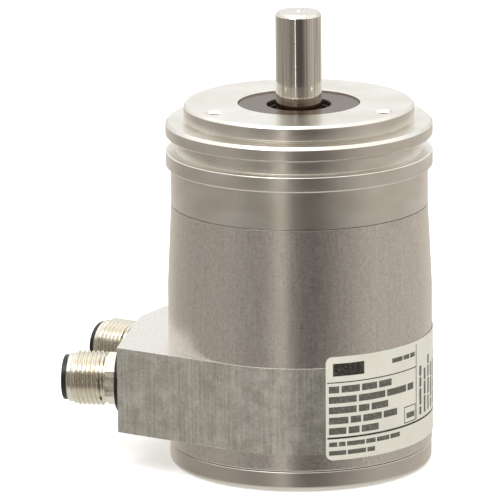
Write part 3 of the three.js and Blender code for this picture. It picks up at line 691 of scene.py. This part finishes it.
# ---- Flange, housing and cap ----
def rod(name, radius, bottom, top, sides=48, at=(0, 0)):
    mesh = turned(name, [(0, bottom), (radius, bottom), (radius, top), (0, top)], sides)
    return shift(mesh, (at[0], at[1], 0))


def make_flange():
    face = SPIGOT_TOP - SPIGOT_H
    groove_top = face - DISC_T
    groove_bottom = groove_top - GROOVE_H
    barrel_top = groove_bottom - RING_T
    edge, soft = 0.35, 0.12
    outline = rounded([
        (COVER_SEAT_R, SPIGOT_TOP, 0.15),
        (COVER_SEAT_R, SPIGOT_TOP - COVER_SEAT_DEPTH),
        (BEARING_SEAT_R, SPIGOT_TOP - COVER_SEAT_DEPTH),
        (BEARING_SEAT_R, FLANGE_BOTTOM),
        (HUB_R, FLANGE_BOTTOM, 0.2),
        (HUB_R, FLANGE_PLUG_BOTTOM),
        (FLANGE_PLUG_R, FLANGE_PLUG_BOTTOM, 0.3),
        (FLANGE_PLUG_R, JOINT_Z + JOINT_GAP),
        (BARREL_R - 0.06, JOINT_Z + JOINT_GAP),
        (BARREL_R, JOINT_Z + JOINT_GAP + 0.06),
        (BARREL_R, barrel_top),
        (FLANGE_R - RING_EDGE, barrel_top),
        (FLANGE_R, barrel_top + RING_EDGE, 0.1),
        (FLANGE_R, groove_bottom, edge),
        (GROOVE_R, groove_bottom, 0.25),
        (GROOVE_R, groove_top, 0.25),
        (FLANGE_R - GROOVE_EDGE, groove_top),
        (FLANGE_R, groove_top + GROOVE_EDGE, 0.1),
        (FLANGE_R, face - DISC_CHAMFER["along"], 0.15),
        (FLANGE_R - DISC_CHAMFER["across"], face, 0.15),
        (SPIGOT_R + 0.02, face, soft),
        (SPIGOT_R - RELIEF_DEPTH, face + RELIEF_START),
        (SPIGOT_R - RELIEF_DEPTH, face + RELIEF_END),
        (SPIGOT_R, face + RELIEF_END + 0.08, soft),
        (SPIGOT_R, SPIGOT_TOP - SPIGOT_CHAMFER["along"], 0.15),
        (SPIGOT_R - SPIGOT_CHAMFER["across"], SPIGOT_TOP, 0.12),
    ])
    mesh = turned("flange_body", outline, 256)
    for angle in BOLT_ANGLES:
        at = direction(angle) * BOLT_CIRCLE_R
        hole = [
            (0, SPIGOT_TOP - BOLT_DEPTH),
            (BOLT_HOLE_R, SPIGOT_TOP - BOLT_DEPTH + BOLT_POINT),
            (BOLT_HOLE_R, SPIGOT_TOP - 1.2 * (BOLT_SINK_R - BOLT_HOLE_R)),
            (BOLT_SINK_R + 0.2, SPIGOT_TOP + 0.24),
            (0, SPIGOT_TOP + 0.2),
        ]
        mesh = cut(mesh, shift(turned("hole", hole, 40), at))
    return place(mesh, "case", "turned_aluminium", ALUMINIUM, "flange")


def meeting_point(first, second):
    """Where two upright faces meet in plan; each is (normal angle, distance)."""
    a, b = direction(first[0]), direction(second[0])
    det = a.x * b.y - a.y * b.x
    x = (first[1] * b.y - second[1] * a.y) / det
    y = (second[1] * a.x - first[1] * b.x) / det
    return (x, y)


def block_outline():
    """The block in plan, with slightly rounded upright corners, run on into the round body."""
    side = HOUSING_R
    front_side, rear_side = (FRONT_SIDE_ANGLE, side), (REAR_SIDE_ANGLE, side)
    inner = side * 0.8
    corners = [
        tuple(direction(REAR_SIDE_ANGLE).xy * side),
        (*meeting_point(REAR_FACET, rear_side), 0.6),
        (*meeting_point(FRONT_FACET, REAR_FACET), 0.4),
        (*meeting_point(FRONT_FACET, front_side), 0.45),
        tuple(direction(FRONT_SIDE_ANGLE).xy * side),
        tuple(direction(FRONT_SIDE_ANGLE - 20).xy * inner),
        tuple(direction(REAR_SIDE_ANGLE + 20).xy * inner),
    ]
    return rounded(corners)


def softened(mesh, width, sharp_angle=50):
    """The mesh with a small chamfer on its sharp edges."""
    whole = bmesh.new()
    whole.from_mesh(mesh)
    limit = math.radians(sharp_angle)
    edges = [e for e in whole.edges if e.is_manifold and e.calc_face_angle(0) > limit]
    bmesh.ops.bevel(whole, geom=edges, offset=width * MM, segments=2, affect="EDGES", profile=0.6)
    whole.to_mesh(mesh)
    whole.free()
    return mesh


def make_housing():
    outline = rounded([
        (BORE_R, HOUSING_BOTTOM, 0.2),
        (TURNED_R, HOUSING_BOTTOM, 0.35),
        (TURNED_R, BLOCK_BOTTOM - 0.02),
        (HOUSING_R, BLOCK_BOTTOM + 0.02),
        (HOUSING_R, BLOCK_TOP - 0.02),
        (TURNED_R, BLOCK_TOP + 0.02),
        (TURNED_R, CONE_BOTTOM),
        (BARREL_R, JOINT_Z - 0.06),
        (BARREL_R - 0.04, JOINT_Z),
        (BORE_R, JOINT_Z, 0.2),
    ])
    shell = turned("housing_body", outline, 256)
    block = softened(prism("block", block_outline(), BLOCK_BOTTOM, BLOCK_TOP), 0.2)
    bore = rod("bore", BORE_R, HOUSING_BOTTOM - 1, JOINT_Z + 1, 256)
    mesh = combined(shell, cut(block, bore), "UNION")
    for side in CONNECTOR_ANGLES:
        hole = rod("hole", STEM_HOLE_R, -20, 2, 48)
        hole.transform(connector_frame(side))
        mesh = cut(mesh, hole)
    piece = place(mesh, "case", "profile_aluminium", None, "housing")
    mesh.materials.clear()
    finishes = (SKIMMED, PROFILE, MILLED)
    for material in finishes:
        mesh.materials.append(material)
    for face in mesh.polygons:
        centre = face.center / MM
        within = BLOCK_BOTTOM + 0.05 < centre.z < BLOCK_TOP - 0.05
        on_top = abs(centre.z - BLOCK_TOP) < 0.3 and centre.xy.length > HOUSING_R + 0.02
        milled = on_top and face.normal.z > 0.5
        finish = MILLED if milled else PROFILE if within else SKIMMED
        face.material_index = finishes.index(finish)
    return piece


def make_cap():
    outline = rounded([
        (0, 0),
        (CAP_R, 0, 1.35),
        (CAP_R, CAP_TOP, 0.3),
        (CAP_PLUG_R, CAP_TOP),
        (CAP_PLUG_R, CAP_PLUG_TOP, 0.3),
        (CAP_PLUG_BORE_R, CAP_PLUG_TOP, 0.3),
        (CAP_PLUG_BORE_R, CAP_TOP),
        (0, CAP_TOP),
    ], steps=6)
    mesh = turned("end_cap_body", outline, 256)
    for angle in TIE_ANGLES:
        at = direction(angle).xy * TIE_CIRCLE_R
        mesh = cut(mesh, rod("seat", TIE_SEAT_R, -1, TIE_SEAT_Z, 48, at))
        mesh = cut(mesh, rod("way", TIE_HOLE_R, -1, CAP_PLUG_TOP + 1, 32, at))
    return place(mesh, "case", "cap_aluminium", CAP_METAL, "end_cap")


# ---- Connectors ----
def connector_frame(side):
    """The matrix that lays a body made along +Z onto a connector's axis, from its facet."""
    gasket_low, gasket_high = span(f"{side}_connector_gasket")
    axis = direction(CONNECTOR_ANGLES[side])
    seat = (gasket_low + gasket_high) / 2 - axis * (GASKET_T / 2)
    turn = axis.to_track_quat("Z", "X").to_matrix().to_4x4()
    return Matrix.Translation(seat * MM) @ turn


def lifted_frame(side):
    """As connector_frame, for the parts that stand further out on a longer neck."""
    return connector_frame(side) @ Matrix.Translation(Vector((0, 0, CONNECTOR_LIFT[side])) * MM)


def thread_radius(z, angle):
    """Radius of the helical thread, run out into its root at both ends."""
    phase = (z / THREAD_PITCH - angle / (2 * math.pi)) % 1.0
    crest = max(0.0, min(1.0, CREST_TOP - abs(phase - 0.5) * FLANK_SLOPE))
    lead_out = min(1.0, max(0.0, (THREAD_END - z) / THREAD_RUN_OUT))
    lead_in = min(1.0, max(0.0, (z - THREAD_START) / THREAD_RUN_IN))
    return THREAD_R - THREAD_DEPTH + THREAD_DEPTH * crest * min(lead_in, lead_out)


def neck_radius(angle):
    """Radius of the hexagonal neck, with its corners turned down a little."""
    sixth = math.pi / 3
    flat = NECK_FLATS / 2 / math.cos((angle % sixth) - sixth / 2)
    return min(flat, NECK_FLATS / 2 * NECK_CORNER)


def make_shell(side):
    # Radii below zero stand for rows whose radius changes on the way round.
    thread_row, neck_row = -1, -2
    rows_per_turn = 16
    steps = round((THREAD_END - THREAD_START) / THREAD_PITCH * rows_per_turn)
    thread = [
        (thread_row, THREAD_START + (THREAD_END - THREAD_START) * i / steps)
        for i in range(steps + 1)
    ]
    root = THREAD_R - THREAD_DEPTH
    stem_end = STEM_END - CONNECTOR_LIFT[side]
    neck_start = GASKET_T + 0.02 - CONNECTOR_LIFT[side]
    outline = [
        (WIRE_WAY_R, stem_end),
        (STEM_R - 0.3, stem_end),
        (STEM_R, stem_end + 0.3),
        (STEM_R, neck_start),
        (neck_row, neck_start),
        (neck_row, NECK_END - 0.25),
        (root - 0.12, NECK_END),
        (root - 0.12, THREAD_START - 0.05),
        *thread,
        (root - 0.05, THREAD_END + 0.1),
        (root - 0.05, SHELL_END - 0.2),
        (root - 0.25, SHELL_END),
        (SHELL_BORE_R, SHELL_END),
        (SHELL_BORE_R, SOCKET_FLOOR),
        (WIRE_WAY_R, SOCKET_FLOOR),
    ]

    def radius_at(radius, z, angle):
        if radius == neck_row:
            return neck_radius(angle)
        return thread_radius(z, angle) if radius == thread_row else radius

    mesh = turned(f"{side}_shell", outline, 96, radius_at)
    mesh.transform(lifted_frame(side))
    return place(mesh, "case", "nickel_brass", NICKEL, f"{side}_connector_shell")


def make_insert(side):
    floor = INSERT_END - CAVITY_DEPTH
    outline = rounded([
        (0, floor - INSERT_BASE),
        (INSERT_R, floor - INSERT_BASE),
        (INSERT_R, INSERT_END, 0.34),
        (CAVITY_R, INSERT_END, 0.2),
        (CAVITY_R, floor, 0.2),
        (0, floor),
    ], steps=5)
    mesh = turned(f"{side}_insert", outline, 96)
    wall, tip = -CAVITY_R - 0.2, -CAVITY_R + KEY_HEIGHT
    key_outline = [(wall, -KEY_FOOT), (tip, -KEY_TIP), (tip, KEY_TIP), (wall, KEY_FOOT)]
    key = prism("key", key_outline, floor - 0.5, INSERT_END - 1)
    mesh = combined(mesh, key, "UNION")
    for x, y in pin_places():
        mesh = cut(mesh, rod("hole", PIN_R + 0.04, floor - 4, floor + 1, 24, (x, y)))
    mesh.name = f"{side}_insert"
    mesh.transform(lifted_frame(side))
    return place(mesh, "case", "black_plastic", INSERT, f"{side}_connector_insert")


def pin_places():
    corners = [direction(a).xy * PIN_CIRCLE_R for a in (45, 135, 225, 315)]
    return [*(tuple(c) for c in corners), (0.0, 0.0)]


def make_pins(side):
    for i, (x, y) in enumerate(pin_places(), 1):
        outline = rounded([
            (0, 0),
            (PIN_R, 0, 0.1),
            (PIN_R, PIN_TIP, 0.42),
            (0, PIN_TIP),
        ], steps=6)
        mesh = shift(turned(f"{side}_pin_{i}", outline, 28), (x, y, 0))
        mesh.transform(lifted_frame(side))
        place(mesh, "case", "gold_contact", GOLD, f"{side}_connector_pin_{i}")


def make_gasket(side):
    outline = rounded([
        (STEM_R + 0.1, 0.02, 0.1),
        (GASKET_R, 0.02, 0.3),
        (GASKET_R, GASKET_T, 0.3),
        (STEM_R + 0.1, GASKET_T, 0.1),
    ], steps=5)
    mesh = turned(f"{side}_gasket", outline, 96)
    mesh.transform(connector_frame(side))
    return place(mesh, "case", "nitrile_rubber", RUBBER, f"{side}_connector_gasket")


# ---- Shaft, cover and seal ----
def make_shaft():
    clip_low, clip_high = SHAFT_CLIP_Z
    shoulder_low, shoulder_high = SHAFT_SHOULDER_Z
    outline = rounded([
        (0, SHAFT_BOTTOM),
        (SHAFT_TAIL_R, SHAFT_BOTTOM, 0.2),
        (SHAFT_TAIL_R, SHAFT_TAIL_TOP),
        (SHAFT_R, SHAFT_TAIL_TOP, 0.3),
        (SHAFT_R, clip_low),
        (SHAFT_CLIP_R, clip_low),
        (SHAFT_CLIP_R, clip_high),
        (SHAFT_R, clip_high),
        (SHAFT_R, shoulder_low),
        (SHAFT_SHOULDER_R, shoulder_low, 0.2),
        (SHAFT_SHOULDER_R, shoulder_high, 0.2),
        (SHAFT_R, shoulder_high),
        (SHAFT_R, SHAFT_TOP - SHAFT_CHAMFER["along"], 0.3),
        (SHAFT_R - SHAFT_CHAMFER["across"], SHAFT_TOP, 0.12),
        (0.85, SHAFT_TOP, 0.08),
        (0.35, SHAFT_TOP - 0.9),
        (0, SHAFT_TOP - 1.2),
    ])
    mesh = turned("shaft_body", outline, 160)
    return place(mesh, "shaft_assembly", "ground_steel", STEEL, "shaft")


def make_cover():
    outline = rounded([
        (7.0, COVER_BOTTOM),
        (COVER_R, COVER_BOTTOM),
        (COVER_R, COVER_TOP, 0.15),
        (7.0, COVER_TOP, 0.2),
    ])
    mesh = turned("seal_cover_disc", outline, 160)
    return place(mesh, "case", "black_cover", LACQUER, "seal_cover")


def make_seal():
    low, high = span("shaft_seal")
    outer, top, bottom = high.x, high.z, low.z
    lip_r = SHAFT_R + 0.05
    outline = rounded([
        (lip_r, SEAL_LIP_Z[0]),
        (SEAL_BACK_R, bottom),
        (outer, bottom, 0.3),
        (outer, top, 0.3),
        (SEAL_MOUTH_R, top, 0.3),
        (SEAL_MOUTH_R, SEAL_LIP_Z[1] + 0.5),
        (lip_r, SEAL_LIP_Z[1]),
    ])
    mesh = turned("shaft_lip_seal", outline, 128)
    return place(mesh, "case", "nitrile_rubber", RUBBER, "shaft_seal")


# ---- Screws ----
def make_tie_screw(index, angle):
    low, high = span(f"tie_screw_{index}")
    seat = TIE_SEAT_Z - 0.02
    outline = rounded([
        (0, low.z),
        (TIE_HEAD_R, low.z, 0.25),
        (TIE_HEAD_R, seat),
        (TIE_SHANK_R, seat),
        (TIE_SHANK_R, high.z, 0.25),
        (0, high.z),
    ])
    body = turned(f"tie_screw_{index}_body", outline, 64)
    socket_outline = [tuple(direction(60 * k + 15).xy * TIE_SOCKET_R) for k in range(6)]
    socket = prism("socket", socket_outline, low.z - 1, low.z + 1.5)
    mesh = shift(cut(body, socket), direction(angle) * TIE_CIRCLE_R)
    return place(mesh, "case", "spring_steel", SPRING, f"tie_screw_{index}")


# ---- Label and its print ----
LABEL_START = 280.7
LABEL_SWEEP = 119.0
LABEL_R = HOUSING_R + 0.04
LABEL_T = 0.12
LABEL_WIDTH = math.radians(LABEL_SWEEP) * LABEL_R
LABEL_HEIGHT = LABEL_TOP - LABEL_BOTTOM
LABEL_CORNER = 1.5
PRINT_LIFT = 0.012


def on_label(across, up, lift):
    """A point on the label: millimetres from its left edge and lower edge, and off the body."""
    angle = math.radians(LABEL_START) + across / LABEL_R
    r = LABEL_R + lift
    return (r * math.cos(angle), r * math.sin(angle), LABEL_BOTTOM + up)


def make_label():
    columns = [LABEL_CORNER * (1 - math.cos(math.pi / 2 * i / 6)) for i in range(7)]
    inner_count = 90
    step = (LABEL_WIDTH - 2 * LABEL_CORNER) / inner_count
    columns += [LABEL_CORNER + step * i for i in range(1, inner_count)]
    columns += [LABEL_WIDTH - c for c in reversed(columns[:7])]
    points, faces = [], []
    for across in columns:
        from_edge = min(across, LABEL_WIDTH - across, LABEL_CORNER)
        inset = LABEL_CORNER - math.sqrt(LABEL_CORNER**2 - (LABEL_CORNER - from_edge) ** 2)
        for up, lift in (
            (inset, 0), (inset, LABEL_T), (LABEL_HEIGHT - inset, LABEL_T), (LABEL_HEIGHT - inset, 0),
        ):
            points.append(on_label(across, up, lift))
    for i in range(len(columns) - 1):
        for k in range(4):
            j = (k + 1) % 4
            faces.append((4 * i + k, 4 * i + 4 + k, 4 * i + 4 + j, 4 * i + j))
    last = 4 * (len(columns) - 1)
    faces += [(0, 1, 2, 3), (last, last + 1, last + 2, last + 3)]
    mesh = mesh_of("label_film_sheet", points, faces)
    return place(mesh, "case", "label_film", FILM, "label")


class Print:
    """Collects flat printed patches that lie on the label."""

    def __init__(self):
        self.points, self.faces = [], []

    def bar(self, left, bottom, right, top):
        columns = max(1, math.ceil((right - left) / 0.8))
        first = len(self.points)
        for i in range(columns + 1):
            across = left + (right - left) * i / columns
            self.points.append(on_label(across, bottom, LABEL_T + PRINT_LIFT))
            self.points.append(on_label(across, top, LABEL_T + PRINT_LIFT))
        for i in range(columns):
            k = first + 2 * i
            self.faces.append((k, k + 2, k + 3, k + 1))

    def frame(self, left, bottom, right, top, line):
        self.bar(left, bottom, right, bottom + line)
        self.bar(left, top - line, right, top)
        self.bar(left, bottom + line, left + line, top - line)
        self.bar(right - line, bottom + line, right, top - line)

    def words(self, left, right, base, height, chance, upright=False):
        """A row of plain blocks, each as long as a word, along or up the label."""
        at = left
        while at < right - height:
            end = min(right, at + height * chance.uniform(1.4, 4.6))
            if upright:
                self.bar(base - height, at, base, end)
            else:
                self.bar(at, base, end, base + height)
            at = end + height * 0.34

    def piece(self, name, ink):
        mesh = bpy.data.meshes.new(name)
        mesh.from_pydata([Vector(p) * MM for p in self.points], [], self.faces)
        mesh.materials.append(ink)
        printed = new_piece(name, mesh)
        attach(printed, "case")
        return printed


# The label is ruled into a front panel, a middle panel and a rear panel.
PANEL_SPLIT = 24.5
REAR_SPLIT = PANEL_SPLIT + 24.5
RULE, THICK_RULE = 0.22, 0.42
HEADER_RULE = LABEL_HEIGHT - 5.8
FOOTER_RULE = HEADER_RULE - 12.4
PRINT_LEFT = 0.65
ROW_H, SMALL_ROW_H = 1.5, 1.0
# How far each row stands below the header's rule, and where it ends.
FRONT_ROWS = ((2.2, 16.5), (4.5, 23.4), (6.8, 16.5), (9.1, 18.2), (11.4, 12.4))
FOOTER_ROWS = ((14.1, 18.5), (16.0, 11.5))
COLUMN_PITCH = 2.35
REAR_ROW_PITCH = 2.4


def make_print():
    """Rules in solid ink, and rows of word-sized blocks in a fainter ink."""
    lines, blocks = Print(), Print()
    chance = random.Random(58)
    above_footer = FOOTER_RULE + 0.7
    top = LABEL_HEIGHT - 0.7
    lines.bar(0.3, HEADER_RULE, PANEL_SPLIT, HEADER_RULE + RULE)
    lines.bar(0.3, FOOTER_RULE, LABEL_WIDTH - 1.2, FOOTER_RULE + THICK_RULE)
    lines.frame(20.0, above_footer, PANEL_SPLIT - 0.2, FOOTER_RULE + 4.4, 0.2)
    for split in (PANEL_SPLIT, REAR_SPLIT):
        lines.bar(split, above_footer, split + 0.25, top)
    lines.bar(1.6, HEADER_RULE + 1.5, 8.8, HEADER_RULE + 4.3)
    blocks.words(16.2, 24.0, HEADER_RULE + 2.6, SMALL_ROW_H, chance)
    blocks.words(20.8, 23.8, FOOTER_RULE + 1.7, 1.2, chance)
    for drop, end in FRONT_ROWS:
        blocks.words(PRINT_LEFT, end, HEADER_RULE - drop, ROW_H, chance)
    for drop, end in FOOTER_ROWS:
        blocks.words(PRINT_LEFT, end, HEADER_RULE - drop, SMALL_ROW_H, chance)
    for column in range(9):
        base = PANEL_SPLIT + 2.6 + COLUMN_PITCH * column
        end = chance.uniform(14, LABEL_HEIGHT - 1.5)
        blocks.words(FOOTER_RULE + 1.3, end, base, SMALL_ROW_H, chance, upright=True)
    for row in range(6):
        up = LABEL_HEIGHT - 4 - REAR_ROW_PITCH * row
        blocks.words(PANEL_SPLIT + 26, LABEL_WIDTH - 2.5, up, SMALL_ROW_H, chance)
    lines.piece("label_rules", INK)
    blocks.piece("label_blocks", FAINT_INK)


# ---- CAD nodes that stay, with their finishes ----
INNER_FINISHES = {
    "o_ring": RUBBER,
    "bearing_cage": CAGE,
    "bearing": BEARING,
    "circlip": SPRING,
    "wave_washer": SPRING,
    "board_post": DARK,
    "disc_hub": BRASS,
    "code_disc": GLASS,
    "reticle": GLASS,
    "magnet": MAGNET,
    "gear_axle": BEARING,
    "gear_plate": DARK,
    "gear": GEAR,
    "light_source": DARK,
    "board": BOARD,
    "lead": LEAD,
}


def finish_inner_nodes():
    for name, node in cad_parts.items():
        match = next((f for key, f in INNER_FINISHES.items() if key in name), None)
        if match is None or node.hide_render:
            continue
        node.data.materials.clear()
        node.data.materials.append(match)


# ---- Floor, light and camera ----
def make_floor():
    size = 4.0
    mesh = bpy.data.meshes.new("floor")
    corners = [(-size, -size, 0), (size, -size, 0), (size, size, 0), (-size, size, 0)]
    mesh.from_pydata(corners, [], [(0, 1, 2, 3)])
    floor = new_piece("floor", mesh)
    material = new_material("floor_paper")[0]
    glow = {"Emission_Color": (1.0, 0.995, 0.98, 1.0), "Emission_Strength": 0.42}
    finished(material, Base_Color=linear("#F4F3F0"), Roughness=0.9, **glow)
    mesh.materials.append(material)
    floor.visible_glossy = False


# What a bright cylinder mirrors at each compass angle, counted from +X towards +Y:
# (angle, brightness). The studio is a white tent, open and dark behind the camera, with one
# narrow bright strip at the left edge of that gap.
TENT = (
    (0, 0.50), (40, 0.58), (70, 0.78), (110, 0.78), (140, 0.44), (170, 0.36), (214, 0.38),
    (224, 0.26), (251, 0.26), (252.8, 0.4), (253.2, 2.6), (254.8, 2.6), (255.2, 0.3),
    (258, 0.10), (286, 0.10), (300, 0.24), (318, 0.38), (335, 0.52), (359.9, 0.52),
)
TENT_TINT = (1.0, 0.93, 0.85)
ROOF_LOW = (0.98, 1.0, 1.0, 1.0)
ROOF_HIGH = (1.55, 1.56, 1.54, 1.0)
FLOOR_BOUNCE = (0.85, 0.84, 0.80, 1.0)
# The roof starts lower behind the object than in front of it, where the room is open.
ROOF_LEAN = 0.35


def make_world():
    world = bpy.data.worlds.new("studio")
    bpy.context.scene.world = world
    world.use_nodes = True
    tree = world.node_tree
    tree.nodes.clear()
    ray = add(tree, "ShaderNodeTexCoord").outputs["Generated"]
    compass = add(tree, "ShaderNodeTexGradient", {"Vector": ray}, gradient_type="RADIAL")
    ramp = add(tree, "ShaderNodeValToRGB", {"Fac": compass.outputs["Fac"]})
    stops = sorted(((angle / 360 + 0.5) % 1.0, value) for angle, value in TENT)
    elements = ramp.color_ramp.elements
    while len(elements) < len(stops):
        elements.new(0.5)
    for element, (position, value) in zip(elements, stops):
        element.position = position
        element.color = (*(value / 4 * c for c in TENT_TINT), 1.0)
    bright = {0: ramp.outputs["Color"], "Scale": 4.0}
    walls = add(tree, "ShaderNodeVectorMath", bright, operation="SCALE").outputs[0]
    parts = add(tree, "ShaderNodeSeparateXYZ", {0: ray})
    height = parts.outputs["Z"]
    lean = add(tree, "ShaderNodeMath", {0: parts.outputs["Y"], 1: ROOF_LEAN}, operation="MULTIPLY")
    reach = add(tree, "ShaderNodeMath", {0: height, 1: lean.outputs[0]}, operation="ADD").outputs[0]
    overhead = {"Value": height, 1: 0.3, 2: 0.95, 3: 0.0, 4: 1.0}
    rise = add(tree, "ShaderNodeMapRange", overhead).outputs[0]
    panels = {0: rise, 6: ROOF_LOW, 7: ROOF_HIGH}
    roof = add(tree, "ShaderNodeMix", panels, data_type="RGBA").outputs[2]
    above = {"Value": reach, 1: 0.25, 2: 0.5, 3: 0.0, 4: 1.0}
    covered = add(tree, "ShaderNodeMapRange", above).outputs[0]
    tent = {0: covered, 6: walls, 7: roof}
    upper = add(tree, "ShaderNodeMix", tent, data_type="RGBA").outputs[2]
    below = {"Value": height, 1: -0.45, 2: -0.75, 3: 0.0, 4: 1.0}
    under = add(tree, "ShaderNodeMapRange", below).outputs[0]
    whole = {0: under, 6: upper, 7: FLOOR_BOUNCE}
    studio = add(tree, "ShaderNodeMix", whole, data_type="RGBA").outputs[2]
    seen = add(tree, "ShaderNodeLightPath").outputs["Is Camera Ray"]
    backdrop = {0: seen, 6: studio, 7: (0.98, 0.98, 0.975, 1.0)}
    shown = add(tree, "ShaderNodeMix", backdrop, data_type="RGBA").outputs[2]
    background = add(tree, "ShaderNodeBackground", {"Color": shown})
    add(tree, "ShaderNodeOutputWorld", {"Surface": background.outputs[0]})


def make_soft_box(name, place_mm, size_mm, power):
    """A square soft light aimed at the middle of the object."""
    light = bpy.data.lights.new(name, "AREA")
    light.shape = "SQUARE"
    light.size = size_mm * MM
    light.energy = power
    lamp = bpy.data.objects.new(name, light)
    bpy.context.scene.collection.objects.link(lamp)
    lamp.location = Vector(place_mm) * MM
    middle = Vector((0, 0, SPIGOT_TOP / 2)) * MM
    lamp.rotation_mode = "QUATERNION"
    lamp.rotation_quaternion = (middle - lamp.location).to_track_quat("-Z", "Y")
    return lamp


CAMERA_DISTANCE = 1243.0
CAMERA_ELEVATION = 13.58
CAMERA_ROLL = 0.475
CAMERA_LENS = 411.0
CAMERA_AIM = Vector((-10.83, 0.0, -2.86))
CAMERA_PIVOT_DROP = 30.0


def make_camera():
    data = bpy.data.cameras.new("camera")
    data.lens = CAMERA_LENS
    data.clip_start = 0.05
    data.clip_end = 20
    camera = bpy.data.objects.new("camera", data)
    bpy.context.scene.collection.objects.link(camera)
    rise = math.radians(CAMERA_ELEVATION)
    pivot = Vector((0, 0, SPIGOT_TOP - CAMERA_PIVOT_DROP))
    back = Vector((0, -math.cos(rise), math.sin(rise)))
    camera.location = (pivot + back * CAMERA_DISTANCE) * MM
    up = Vector((0, math.sin(rise), math.cos(rise)))
    aim = pivot + Vector((1, 0, 0)) * CAMERA_AIM.x + up * CAMERA_AIM.z
    look = (aim * MM - camera.location).to_track_quat("-Z", "Y")
    roll = Matrix.Rotation(math.radians(-CAMERA_ROLL), 4, "Z").to_quaternion()
    camera.rotation_mode = "QUATERNION"
    camera.rotation_quaternion = look @ roll
    bpy.context.scene.camera = camera
    bpy.context.scene.view_settings.view_transform = "Standard"


make_flange()
make_housing()
make_cap()
for side in CONNECTOR_ANGLES:
    make_shell(side)
    make_insert(side)
    make_pins(side)
    make_gasket(side)
make_shaft()
make_cover()
make_seal()
for number, tie_angle in enumerate(TIE_ANGLES, 1):
    make_tie_screw(number, tie_angle)
make_label()
make_print()
finish_inner_nodes()
make_floor()
make_world()
make_soft_box("key_light", (-350, -500, 900), 500, 3.0)
make_camera()
